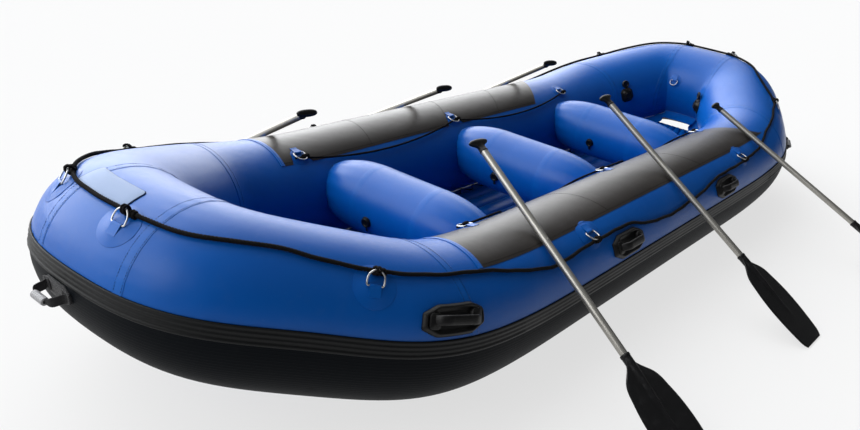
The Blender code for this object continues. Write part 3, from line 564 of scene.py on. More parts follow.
def pale_panel():
    f = Finish("label_panel", **{"Specular IOR Level": 0.12})
    cloud = f.noise(18.0, 4.0, 0.6)
    return f.wear(f.blend(cloud * 0.5, (0.20, 0.27, 0.42), (0.23, 0.30, 0.45)), 0.42 + cloud * 0.1,
                  f.weave(0.0016) * 0.3 + cloud * 0.3, 0.0005)


SATIN = {"Specular IOR Level": 0.22}
BLUE = coated_fabric("blue_coated_fabric", (0.0, 0.060, 0.290), (0.0, 0.086, 0.375), 0.26, **SATIN)
TAPE = coated_fabric("blue_seam_tape", (0.0, 0.066, 0.305), (0.0, 0.092, 0.390), 0.28, **SATIN)
GREY = coated_fabric("grey_wear_fabric", (0.018, 0.016, 0.015), (0.032, 0.028, 0.026), 0.27, 0.0030,
                     **{"Specular IOR Level": 0.22})
BLACK = chafe_rubber()
STRAKE = strake_rubber()
MOULDED = moulded("black_moulding", (0.004, 0.004, 0.0045), (0.018, 0.018, 0.018), 0.36,
                  **{"Specular IOR Level": 0.22})
# Grip sleeves on the carry loops: their pale grey is a painted highlight that stands in for the
# bright spot of light on the end handles. The paler rubbed spots on top of it are wear.
SLEEVE = moulded("grey_grip_moulding", (0.26, 0.26, 0.27), (0.42, 0.42, 0.43), 0.36, 300.0)
BLADE = moulded("black_blade_plastic", (0.004, 0.004, 0.0045), (0.016, 0.016, 0.017), 0.34, 700.0,
                **{"Specular IOR Level": 0.2})
WEBBING = webbing()
ROPE = rope_yarn("black_rope_yarn", (0.0025, 0.0025, 0.003), (0.024, 0.020, 0.018))
THREAD = rope_yarn("dark_thread", (0.006, 0.012, 0.035), (0.03, 0.05, 0.10))
STEEL = metal("polished_stainless", (0.56, 0.56, 0.55), (0.32, 0.32, 0.32), 0.16)
ALUMINIUM = metal("drawn_aluminium", (0.40, 0.39, 0.36), (0.24, 0.23, 0.21), 0.30, (1.0, 1.0, 0.05))
PALE = pale_panel()


# ---- what follows a path --------------------------------------------------------------
def path_tree(name, numbers):
    """A geometry tree that takes curves and these named numbers."""
    tree = bpy.data.node_groups.new(name, "GeometryNodeTree")
    tree.interface.new_socket("Path", in_out="INPUT", socket_type="NodeSocketGeometry")
    for label, value in numbers.items():
        socket = tree.interface.new_socket(label, in_out="INPUT", socket_type="NodeSocketFloat")
        socket.default_value = value
    tree.interface.new_socket("Finish", in_out="INPUT", socket_type="NodeSocketMaterial")
    tree.interface.new_socket("Geometry", in_out="OUTPUT", socket_type="NodeSocketGeometry")
    graph = Graph(tree)
    return graph, graph.add("NodeGroupInput")


def end_tree(graph, given, made):
    real = graph.add("GeometryNodeRealizeInstances", {}, {0: made})
    coloured = graph.add("GeometryNodeSetMaterial", {},
                         {"Geometry": real, "Material": given["Finish"]})
    graph.add("NodeGroupOutput", {}, {0: coloured})
    return graph.tree


def laid_rope_tree():
    """Three strands laid round each other along a path."""
    graph, given = path_tree("laid_rope", {"Radius": LINE_R, "Lay": ROPE_LAY, "Step": 0.0032})
    strands = []
    for strand in range(3):
        even = graph.add("GeometryNodeResampleCurve", {"mode": "LENGTH"},
                         {"Curve": given["Path"], "Length": given["Step"]})
        run = graph.add("GeometryNodeSplineParameter")["Length"]
        turn = run / given["Lay"] * (2 * math.pi) + strand * 2 * math.pi / 3
        normal = graph.add("GeometryNodeInputNormal")
        tangent = graph.add("GeometryNodeInputTangent")
        side = graph.add("ShaderNodeVectorMath", {"operation": "CROSS_PRODUCT"},
                         {0: tangent, 1: normal})
        reach = given["Radius"] * 0.46
        first = graph.add("ShaderNodeVectorMath", {"operation": "SCALE"},
                          {0: normal, "Scale": turn.cosine() * reach})
        second = graph.add("ShaderNodeVectorMath", {"operation": "SCALE"},
                           {0: side, "Scale": turn.sine() * reach})
        shift = graph.add("ShaderNodeVectorMath", {"operation": "ADD"}, {0: first, 1: second})
        wound = graph.add("GeometryNodeSetPosition", {}, {"Geometry": even, "Offset": shift})
        ring = graph.add("GeometryNodeCurvePrimitiveCircle", {},
                         {"Resolution": 6, "Radius": given["Radius"] * 0.56})
        strands.append(graph.add("GeometryNodeCurveToMesh", {},
                                 {"Curve": wound, "Profile Curve": ring, "Fill Caps": True})[0])
    return end_tree(graph, given, graph.add("GeometryNodeJoinGeometry", {}, {0: strands}))


def stitch_tree():
    """A row of short thread stitches along a path."""
    graph, given = path_tree("stitches", {"Radius": 0.0006, "Reach": 0.0052, "Step": STITCH_STEP})
    dots = graph.add("GeometryNodeCurveToPoints", {"mode": "LENGTH"},
                     {"Curve": given["Path"], "Length": given["Step"]})
    stitch = graph.add("GeometryNodeMeshCylinder", {},
                       {"Vertices": 6, "Radius": given["Radius"], "Depth": given["Reach"]})
    turn = graph.add("FunctionNodeAlignRotationToVector", {"axis": "Z"},
                     {"Vector": dots["Tangent"]})
    row = graph.add("GeometryNodeInstanceOnPoints", {},
                    {"Points": dots, "Instance": stitch, "Rotation": turn})
    return end_tree(graph, given, row)


def eyelet_tree():
    """Small rings standing at even steps along a path, facing up."""
    graph, given = path_tree("eyelets", {"Radius": 0.010, "Wire": 0.0022, "Step": 0.10})
    dots = graph.add("GeometryNodeCurveToPoints", {"mode": "LENGTH"},
                     {"Curve": given["Path"], "Length": given["Step"]})
    ring = graph.add("GeometryNodeCurvePrimitiveCircle", {},
                     {"Resolution": 14, "Radius": given["Radius"]})
    wire = graph.add("GeometryNodeCurvePrimitiveCircle", {},
                     {"Resolution": 6, "Radius": given["Wire"]})
    eyelet = graph.add("GeometryNodeCurveToMesh", {}, {"Curve": ring, "Profile Curve": wire})
    row = graph.add("GeometryNodeInstanceOnPoints", {}, {"Points": dots, "Instance": eyelet})
    return end_tree(graph, given, row)


ROPE_TREE, STITCH_TREE, EYELET_TREE = laid_rope_tree(), stitch_tree(), eyelet_tree()


def along_paths(name, tree, paths, finish, loop=False, twist="MINIMUM", **numbers):
    """Run a tree along paths and keep what it makes as a plain mesh."""
    curve = bpy.data.curves.new(name, "CURVE")
    curve.dimensions = "3D"
    curve.twist_mode = twist
    for path in paths:
        spline = curve.splines.new("POLY")
        spline.points.add(len(path) - 1)
        spline.points.foreach_set("co", np.append(path, np.ones((len(path), 1)), axis=1).ravel())
        spline.use_cyclic_u = loop
    holder = bpy.data.objects.new(name, curve)
    bpy.context.scene.collection.objects.link(holder)
    step = holder.modifiers.new("run", "NODES")
    step.node_group = tree
    for item in tree.interface.items_tree:
        if item.in_out == "INPUT" and item.name in numbers:
            step[item.identifier] = numbers[item.name]
        elif item.in_out == "INPUT" and item.name == "Finish":
            step[item.identifier] = finish
    bpy.context.view_layer.update()
    depsgraph = bpy.context.evaluated_depsgraph_get()
    mesh = bpy.data.meshes.new_from_object(holder.evaluated_get(depsgraph))
    bpy.data.objects.remove(holder, do_unlink=True)
    bpy.data.curves.remove(curve)
    mesh.name = name
    mesh.shade_smooth()
    mesh.set_sharp_from_angle(angle=math.radians(60))
    return mesh


# ---- hull panels, seams and bands -----------------------------------------------------
def hull_seams(angles):
    """Sample places of the eight seams, in order round the hull, for each angle."""
    half = Hull.SAMPLES // 2
    corner = HULL.near_x(-SHOULDER_X + 0.25, -1)
    places = []
    for number in range(4):
        end, side = ((-1, -1), (1, -1), (1, 1), (-1, 1))[number]
        outer = np.array((end * (END_X + TUBE_R), side * MITRE_OUTER_Y, 0.0))
        inner = np.array((end * (END_X - TUBE_R), side * MITRE_INNER_Y, 0.0))
        run = outer - inner
        spans = ((0, corner), (half - corner, half), (half, half + corner),
                 (Hull.SAMPLES - corner, Hull.SAMPLES))
        low, high = spans[number]
        mitre = HULL.crossing(inner, (-run[1], run[0], 0.0), low, high, angles)
        flank = HULL.crossing((end * SIDE_SEAM_X, 0, 0), (1, 0, 0), low, high, angles)
        places += [mitre, flank] if number % 2 == 0 else [flank, mitre]
    return places


def pucker(place, angles, seams):
    """Small gathers that die away from each mitre seam."""
    lift = np.zeros(place.shape)
    step = float(HULL.pace(0.0, 0.0))
    for number in (0, 3, 4, 7):
        away = np.abs((place - seams[number] + Hull.SAMPLES / 2) % Hull.SAMPLES
                      - Hull.SAMPLES / 2) * step
        wave = np.cos(np.radians(angles) * PUCKER_COUNT + number)
        lift += PUCKER * np.exp(-(away / PUCKER_REACH) ** 2) * wave
    return lift - PUCKER


def band(low, high, angles, lift, thick, rows, ring=False):
    """A closed strip of skin between two sets of sample places."""
    share = np.linspace(0.0, 1.0, rows)[:, None]
    place = low * (1 - share) + high * share
    top = HULL.skin(place, angles, lift(place) if callable(lift) else lift)
    bottom = HULL.skin(place, angles, thick)
    step = float(HULL.pace(0.0, 0.0))
    flat = np.stack(np.broadcast_arrays(place * step, np.radians(angles) * TUBE_R), axis=2)
    return slab(top, bottom, flat, ring)


def make_panels():
    angles = np.linspace(0.0, 360.0, ROUND + 1)
    seams = hull_seams(angles)
    names = ("bow_port_corner", "port", "stern_port_corner", "stern_end",
             "stern_starboard_corner", "starboard", "bow_starboard_corner", "bow_end")
    step = float(HULL.pace(0.0, 180.0))
    for number, name in enumerate(names):
        low = seams[number]
        high = seams[(number + 1) % 8] + (Hull.SAMPLES if number == 7 else 0)
        hair = 0.0004 / step
        rows = max(8, int((high - low).mean() * step / PANEL_STEP))
        grids = band(low + hair, high - hair, angles, lambda p: pucker(p, angles, seams),
                     -SKIN - PUCKER * 2, rows, ring=True)
        shell("hull_panel_" + name, grids, "hull", BLUE, ["tube_" + name])
    across = np.array((-1.0, -0.96, -0.5, 0.0, 0.5, 0.96, 1.0)) * TAPE_WIDTH / 2
    lifts = np.array((0.0, TAPE_T, TAPE_T, TAPE_T * 1.3, TAPE_T, TAPE_T, 0.0))
    grids, rows_of_thread = [], []
    for number, seam in enumerate(seams):
        thin = 1.0 if number in (0, 3, 4, 7) else 0.45
        pace = HULL.pace(seam, angles)
        place = seam[None, :] + across[:, None] / pace[None, :]
        base = pucker(place, angles, seams)
        top = HULL.skin(place, angles, lifts[:, None] * thin + base)
        grids += slab(top, HULL.skin(place, angles, -0.0006 + base), None, ring=True)
        shown = slice(int(ROUND * 15 / 360), int(ROUND * 200 / 360))
        for side in (-1, 1):
            edge = seam + side * TAPE_WIDTH * 0.36 / pace
            rows_of_thread.append(HULL.skin(edge, angles, TAPE_T + 0.0003 - PUCKER)[shown])
    shell("seam_tapes", grids, "hull", TAPE)
    piece("seam_stitches", along_paths("seam_stitches", STITCH_TREE, rows_of_thread, THREAD),
          "hull", THREAD)


STRAKE_PROFILE = (           # (metres down from the band's top edge, height over the band)
    (0.0, 0.0), (0.001, 0.0012), (0.004, 0.0020), (0.007, 0.0014), (0.009, 0.0003),
    (0.013, 0.0003), (0.015, 0.0014), (0.018, 0.0022), (0.021, 0.0014), (0.023, 0.0003),
    (0.027, 0.0003), (0.029, 0.0014), (0.032, 0.0022), (0.035, 0.0014), (0.037, 0.0003),
    (0.041, 0.0006), (0.043, 0.0026), (0.0465, 0.0040), (0.050, 0.0026), (0.053, 0.0))


def make_wraps():
    top_down = np.array([down for down, _ in STRAKE_PROFILE])
    ridge = np.array([height for _, height in STRAKE_PROFILE])
    edge = WRAP_TOP - np.degrees(top_down / TUBE_R)
    rest = np.linspace(edge[-1] - 2.5, WRAP_TOP - WRAP_SPAN, 40)
    angles = np.concatenate([edge, rest])
    lift = np.concatenate([ridge * 0.45, np.zeros(40)]) + WRAP_T + GAP
    whole = {}
    for name, (low, high) in {
            "port": (HULL.near_x(-WRAP_SEAM_X, -1), HULL.near_x(WRAP_SEAM_X, -1)),
            "stern": (HULL.near_x(WRAP_SEAM_X, -1), HULL.near_x(WRAP_SEAM_X, 1)),
            "starboard": (HULL.near_x(WRAP_SEAM_X, 1), HULL.near_x(-WRAP_SEAM_X, 1)),
            "bow": (HULL.near_x(-WRAP_SEAM_X, 1) - Hull.SAMPLES,
                    HULL.near_x(-WRAP_SEAM_X, -1))}.items():
        whole[name] = (low, high)
        rows = int((high - low) * float(HULL.pace(0.0, 180.0)) / PANEL_STEP)
        grids = band(np.full(len(angles), low + 0.12), np.full(len(angles), high - 0.12), angles,
                     lift, -0.0004, rows)
        shell("chafe_band_" + name, grids, "hull", BLACK, ["chafe_wrap_" + name],
              sharp=50.0)
    angles = WRAP_TOP - np.degrees(top_down / TUBE_R) - 0.2
    for name, (low, high) in whole.items():
        rows = int((high - low) * float(HULL.pace(0.0, 180.0)) / PANEL_STEP)
        over = WRAP_T + GAP + 0.0006 + ridge * (1.0 if name in ENDS else 0.62)
        place = np.linspace(low, high, rows)[:, None]
        grids = slab(HULL.skin(place, angles, over), HULL.skin(place, angles, WRAP_T * 0.3))
        shell("rub_strake_" + name, grids, "hull", STRAKE, sharp=50.0)


def make_wear_patches():
    for name, side in SIDES.items():
        start, finish = WEAR_ENDS_X[name]
        low, high = WEAR_ANGLES
        share = np.linspace(0.0, 1.0, 27)[None, :]
        rows = 260
        run = np.linspace(0.0, 1.0, rows)[:, None]
        back = finish - WEAR_POINT * share ** 0.75
        x = start + (back - start) * run
        place = HULL.places_at(x, side)
        notch = np.zeros(rows)
        for ring in INNER_RING_X:
            near = np.clip(0.052 ** 2 - (x[:, -1] - ring) ** 2, 0.0, None)
            notch = np.maximum(notch, np.degrees(np.sqrt(near) / TUBE_R))
        top_angle = high - notch[:, None]
        angle = low + (top_angle - low) * share
        rim = np.minimum(np.minimum(share, 1 - share) * 12, np.minimum(run, 1 - run) * 40)
        lift = GAP + WEAR_T * (0.25 + 0.75 * np.clip(rim, 0, 1))
        flat = np.stack(np.broadcast_arrays(x, np.radians(angle) * TUBE_R), axis=2)
        grids = slab(HULL.skin(place, angle, lift), HULL.skin(place, angle, -0.0005), flat)
        shell("wear_cloth_" + name, grids, "hull", GREY, ["wear_patch_" + name])
        rings = []
        for row, width in ((0, 0.022), (0, 0.007)):
            centre = place[row] + (0.006 if width < 0.02 else 0.0)
            across = np.linspace(-1.0, 1.0, 7)[:, None]
            pace = float(HULL.pace(float(place[row, 0]), 90.0))
            spots = centre[None, :] + across * width / 2 / pace
            lifts = WEAR_T + (0.0012 if width < 0.02 else 0.0006) * (1 - across ** 4)
            rings += slab(HULL.skin(spots, angle[row][None, :] + 0.0 * spots, lifts),
                          HULL.skin(spots, angle[row][None, :] + 0.0 * spots, 0.0))
        shell("wear_end_tape_" + name, rings, "hull", TAPE)
        inset = np.array((1, -2))
        threads = [HULL.skin(place[2:-2, i], angle[2:-2, i], WEAR_T + 0.0007) for i in inset]
        seams_x = (-0.03, -0.62, 0.42) if name == "starboard" else (-0.52, 0.36)
        for seam in seams_x:
            row = int(np.abs(x[:, 13] - seam).argmin())
            threads.append(HULL.skin(place[row, 1:-1], angle[row, 1:-1], WEAR_T + 0.0007))
        piece("wear_stitches_" + name,
              along_paths("wear_stitches_" + name, STITCH_TREE, threads, ROPE), "hull", ROPE)


def octagon(length, width, chamfer, inset=0.0):
    """Eight-sided outline drawn in evenly by inset."""
    half, side = length / 2 - inset, width / 2 - inset
    slant = math.hypot(*chamfer)
    cut = inset * (chamfer[0] + chamfer[1] - slant) / slant
    dx, dy = chamfer[0] - cut * slant / chamfer[1], chamfer[1] - cut * slant / chamfer[0]
    dx, dy = max(dx, 0.004), max(dy, 0.003)
    return [(half, side - dy), (half - dx, side), (dx - half, side), (-half, side - dy),
            (-half, dy - side), (dx - half, -side), (half - dx, -side), (half, dy - side)]


def eased(outline, share=0.06):
    """Only the very corners of a closed outline cut."""
    outline = np.asarray(outline, float)
    ahead = np.roll(outline, -1, axis=0)
    return np.stack([outline * (1 - share) + ahead * share, outline * share + ahead * (1 - share)],
                    axis=1).reshape(-1, 2)


def dished(length, width, chamfer, steps, count=96):
    """A low moulding lofted through the same outline at (inset, height) steps."""
    loops = []
    for inset, height in steps:
        loop = spread(eased(octagon(length, width, chamfer, inset)), count)
        loops.append(np.append(loop, np.full((count, 1), height), axis=1))
    return closed(loops)


def bar_section(width, thick):
    return rounded([(width / 2, thick / 2), (-width / 2, thick / 2), (-width / 2, -thick / 2),
                    (width / 2, -thick / 2)], 2)


def make_handles():
    reach = HANDLE_REACH - HANDLE_BAR_T / 2
    half = HANDLE_BAR_LENGTH / 2
    arch = [(-half + 0.008, 0, 0.004), (-half + 0.010, 0, 0.014), (-half + 0.017, 0, 0.028),
            (-half + 0.034, 0, reach - 0.001), (-0.030, 0, reach), (0.0, 0, reach)]
    arch += [(-x, y, z) for x, y, z in arch[-2::-1]]
    path = smooth_path(arch, 40)
    steps = ((0.0, -0.001), (0.0, 0.004), (0.002, 0.0065), (0.0075, 0.0135), (0.0105, 0.0145),
             (0.0135, 0.0135), (0.019, 0.005), (0.024, 0.0035), (0.038, 0.0035))
    base = dished(HANDLE_LENGTH, HANDLE_WIDTH, HANDLE_CHAMFER, steps)
    for name, side in SIDES.items():
        for number, x in enumerate(HANDLE_X, 1):
            place = HULL.near_x(x, side)
            cheeks = []
            for end in (-1, 1):
                block = dished(0.044, 0.052, (0.008, 0.008),
                               ((0.0, 0.0), (0.0, 0.010), (0.003, 0.016), (0.008, 0.018)), 32)
                shift = block[0].copy()
                shift[..., 0] += end * (half - 0.008)
                cheeks.append((shift, block[1]))
            grids = draped(place, HANDLE_ANGLE, base, *cheeks)
            grids += placed(HULL.seat(place, HANDLE_ANGLE), turned_bar(path))
            label = "%s_%d" % (name, number)
            shell("lifting_handle_" + label, grids, "hull", MOULDED,
                  ["grab_handle_" + label], sharp=40.0)


def turned_bar(path):
    """The handle's bar: wide across the slope, thin outwards."""
    section = bar_section(HANDLE_BAR_WIDTH, HANDLE_BAR_T)
    return swept(path, section, up=(0.02, 0, 1))


# ---- D-rings, their patches and straps --------------------------------------------------
def ring_loop(points=40):
    """Centreline of a D-ring: straight bar on X, arc towards +Y, with bent corners."""
    half, rise = RING_WIDTH / 2 - RING_WIRE_R, RING_HEIGHT - RING_WIRE_R
    straight = rise - half
    arc = [(half * math.cos(a), straight + half * math.sin(a), 0)
           for a in np.linspace(0.0, math.pi, 18)]
    corner = 0.004
    outline = [(-half + corner, 0, 0), (-half * 0.4, 0, 0), (half * 0.4, 0, 0),
               (half - corner, 0, 0), (half - corner * 0.3, corner * 0.3, 0), (half, corner, 0),
               *arc, (-half, corner, 0), (-half + corner * 0.3, corner * 0.3, 0)]
    return spread(np.array(outline), points)


def ring_places():
    places = {}
    for name, side in SIDES.items():
        for number, (x, angle, down) in enumerate(RING_SIDE, 1):
            places["d_ring_%s_%d" % (name, number)] = (HULL.near_x(x, side), angle, down)
    for name, spots in (("bow", RING_BOW_Y), ("stern", RING_STERN_Y)):
        for number, y in enumerate(spots, 1):
            places["d_ring_%s_%d" % (name, number)] = (
                HULL.near_y(y, ENDS[name]), RING_END_ANGLE[name], False)
    return places


RING_PLACES = ring_places()


def round_patch(radius):
    """Glued patch in three stepped layers."""
    layer = 0.0008
    profile = [(0.0, 3 * layer)]
    for share, height in ((0.58, 3), (0.79, 2), (1.0, 1)):
        profile += [(radius * share * 0.97, height * layer),
                    (radius * share, (height - 0.7) * layer)]
    profile += [(radius, -layer), (0.0, -layer)]
    return turned(profile, 48)


def strap_grid(lift, width, towards):
    """A tab that folds round the ring's bar, built flat: (slope, out) and width along the tube."""
    wrap = RING_WIRE_R + 0.0013
    turn = [(-towards * wrap * math.sin(a), lift + wrap * math.cos(a))
            for a in np.linspace(0.15, math.pi - 0.15, 10)]
    path = [(towards * 0.034, 0.0026), (towards * 0.026, 0.0030),
            (towards * 0.011, lift * 0.6 + wrap * 0.8)]
    path += turn + [(towards * 0.010, 0.0014), (towards * 0.022, 0.0012)]
    path = smooth_path(np.array(path), 46)
    ahead = np.gradient(path, axis=0)
    ahead /= np.linalg.norm(ahead, axis=1)[:, None]
    over = np.stack([-ahead[:, 1], ahead[:, 0]], axis=1) * 0.0007
    shares = np.linspace(-0.5, 0.5, 7)
    sheets = []
    for sign in (1, -1):
        spot = path + over * sign
        sheets.append(np.stack([np.repeat((shares * width)[None, :], len(path), axis=0),
                                np.repeat(spot[:, :1], 7, axis=1),
                                np.repeat(spot[:, 1:], 7, axis=1)], axis=2))
    return slab(sheets[0], sheets[1])


def make_rings():
    wire = swept(ring_loop(), circle(RING_WIRE_R, 12), up=(0, 0, 1), loop=True)
    lift = RING_WIRE_R + RING_LIFT
    patches, straps = [], []
    for name, (place, angle, down) in RING_PLACES.items():
        seat = HULL.seat(place, angle, lift)
        if down:
            seat = seat @ Matrix.Rotation(math.pi, 4, "Z")
        seat = seat @ Matrix.Rotation(math.radians(RING_TILT), 4, "X")
        shell("steel_" + name, placed(seat, wire), name + "_body", STEEL, [name])
        turn = 180.0 if down else 0.0
        patches += draped(place, angle, round_patch(PATCH_R), turn=turn)
        straps += draped(place, angle, *strap_grid(lift, 0.036, -1), turn=turn)
    inner = []
    for side in SIDES.values():
        for x in INNER_RING_X:
            place = HULL.near_x(x, side)
            seat = HULL.seat(place, INNER_RING_ANGLE, WEAR_T + RING_WIRE_R * 2)
            inner += placed(seat @ Matrix.Rotation(math.radians(INNER_RING_TILT), 4, "X"), wire)
            patches += draped(place, INNER_RING_ANGLE + 1.5, round_patch(0.050))
            straps += draped(place, INNER_RING_ANGLE, *strap_grid(lift + 0.0015, 0.034, -1))
    place = HULL.near_y(0.093, 1)
    seat = HULL.seat(place, 166.0, lift) @ Matrix.Rotation(math.radians(30), 4, "X")
    inner += placed(seat @ Matrix.Scale(0.8, 4), wire)
    patches += draped(place, 166.0, round_patch(0.040))
    straps += draped(place, 166.0, *strap_grid(lift, 0.028, -1))
    shell("inner_rings", inner, "hull", STEEL)
    shell("ring_patches", patches, "hull", BLUE)
    shell("ring_straps", straps, "hull", TAPE)


# ---- ropes ------------------------------------------------------------------------------
def perimeter_angle(x):
    where, angle = (np.array(column, float) for column in zip(*LINE_ROUTE))
    return hermite(where, angle, np.clip(x, -END_X, END_X))


def coil(radius, length, turns, points=60):
    """Turns of rope round the X axis, their ends tucked in."""
    t = np.linspace(0.0, 1.0, points)
    angle = 2 * math.pi * turns * t
    tuck = np.clip(np.minimum(t, 1 - t) * 10, 0.25, 1.0)
    return np.stack([length * (t - 0.5), radius * tuck * np.cos(angle),
                     radius * tuck * np.sin(angle)], axis=1)


def make_ropes():
    places = np.linspace(0, Hull.SAMPLES, 1400, endpoint=False)
    centre = HULL.read(HULL.points, places)
    lift = np.full(len(places), ROPE_R + 0.0002)
    angles = perimeter_angle(centre[:, 0])
    for place, angle, _ in RING_PLACES.values():
        away = np.abs((places - place + Hull.SAMPLES / 2) % Hull.SAMPLES - Hull.SAMPLES / 2)
        lift += 0.0024 * np.exp(-(away / 26.0) ** 2)
    sway = (0.9 * np.sin(places * 2 * math.pi / 131.0)
            + 0.6 * np.sin(places * 2 * math.pi / 57.0 + 1))
    path = HULL.skin(places, angles + sway * 0.35, lift)
    total = np.linalg.norm(np.diff(path, axis=0, append=path[:1]), axis=1).sum()
    mesh = along_paths("perimeter_rope", ROPE_TREE, [path], ROPE, loop=True, twist="Z_UP",
                       Radius=ROPE_R, Lay=total / round(total / ROPE_LAY), Step=0.0042)
    piece("perimeter_rope", mesh, "hull", ROPE, ["perimeter_line"])
    knots, hitches = [], []
    for name, (place, angle, down) in RING_PLACES.items():
        spot = float(perimeter_angle(np.array([HULL.points[place, 0]]))[0])
        stern = 1 if HULL.along[place][0] > 0 else -1
        if name.startswith("d_ring_bow"):
            stern = 1 if HULL.points[place][1] < 0 else -1
        seat = np.array(HULL.seat(place + int(stern * 9), spot, LINE_R + 0.003))
        turns = coil(0.0085, 0.030, 3.2)
        knots.append(turns @ seat[:3, :3].T + seat[:3, 3])
        sign = -1 if down else 1
        wire = np.array((sign * (RING_HEIGHT - RING_WIRE_R) * math.cos(math.radians(RING_TILT)),
                         RING_WIRE_R + RING_LIFT
                         + (RING_HEIGHT - RING_WIRE_R) * math.sin(math.radians(RING_TILT))))
        rope = np.array((math.radians(spot - angle) * TUBE_R, LINE_R + 0.001))
        middle, apart = (wire + rope) / 2, np.linalg.norm(wire - rope) / 2
        lean = (wire - rope) / max(np.linalg.norm(wire - rope), 1e-6)
        cross = np.array((-lean[1], lean[0]))
        t = np.linspace(0, 2 * math.pi, 40, endpoint=False)[:, None]
        oval = middle + (apart + 0.008) * np.cos(t) * lean + 0.0105 * np.sin(t) * cross
        base = np.array(HULL.seat(place, angle))
        for shift in (-0.005, 0.005):
            loop = np.concatenate([shift + 0.0 * t + 0.002 * np.cos(t), oval], axis=1)
            hitches.append(loop @ base[:3, :3].T + base[:3, 3])
    piece("perimeter_knots", along_paths("perimeter_knots", ROPE_TREE, knots, ROPE,
                                         Radius=0.0048, Lay=0.024, Step=0.0030),
          "hull", ROPE)
    piece("perimeter_hitches", along_paths("perimeter_hitches", ROPE_TREE, hitches, ROPE, loop=True,
                                           Radius=0.0040, Lay=0.020, Step=0.0030),
          "hull", ROPE)
    for name, side in SIDES.items():
        x = np.linspace(INNER_RING_X[0] - INNER_LINE_TAIL, INNER_RING_X[-1] + INNER_LINE_TAIL, 240)
        span = np.clip(np.searchsorted(INNER_RING_X, x) - 1, 0, 1)
        begin, end = np.array(INNER_RING_X)[span], np.array(INNER_RING_X)[span + 1]
        share = np.clip((x - begin) / (end - begin), 0.0, 1.0)
        angle = INNER_LINE_ANGLE + INNER_LINE_SAG * 4 * share * (1 - share)
        if name == "port":
            slack = np.clip((share - 0.27) / 0.16, 0, 1) * np.clip((0.90 - share) / 0.16, 0, 1)
            angle = angle + PORT_SLACK * slack ** 2 * (3 - 2 * slack)
        place = HULL.places_at(x, side)
        path = HULL.skin(place, angle, WEAR_T + INNER_LINE_R + 0.0030)
        mesh = along_paths("inner_rope_" + name, ROPE_TREE, [path], ROPE, twist="Z_UP",
                           Radius=INNER_LINE_R, Lay=0.027, Step=0.0034)
        piece("inner_rope_" + name, mesh, "hull", ROPE, ["inner_line_" + name])
        tied = []
        for ring in INNER_RING_X:
            seat = np.array(HULL.seat(HULL.near_x(ring + 0.022, side), INNER_LINE_ANGLE,
                                      WEAR_T + INNER_LINE_R + 0.003))
            tied.append(coil(0.008, 0.034, 3.2) @ seat[:3, :3].T + seat[:3, 3])
        piece("inner_knots_" + name, along_paths("inner_knots_" + name, ROPE_TREE, tied, ROPE,
                                                 Radius=0.0045, Lay=0.022, Step=0.0030),
              "hull", ROPE)


# ---- carrying loops ---------------------------------------------------------------------
def ribbon(path, widths, thick):
    """Webbing along a path in (along, out), its width up the slope."""
    path, widths = np.asarray(path, float), np.asarray(widths, float)
    ahead = np.gradient(path, axis=0)
    ahead /= np.linalg.norm(ahead, axis=1)[:, None]
    over = np.stack([-ahead[:, 1], ahead[:, 0]], axis=1) * thick / 2
    shares = np.linspace(-0.5, 0.5, 9)
    sheets = []
    for sign in (1, -1):
        spot = path + over * sign
        sheets.append(np.stack([np.repeat(spot[:, :1], 9, axis=1), widths[:, None] * shares[None, :],
                                np.repeat(spot[:, 1:], 9, axis=1)], axis=2))
    return slab(sheets[0], sheets[1])


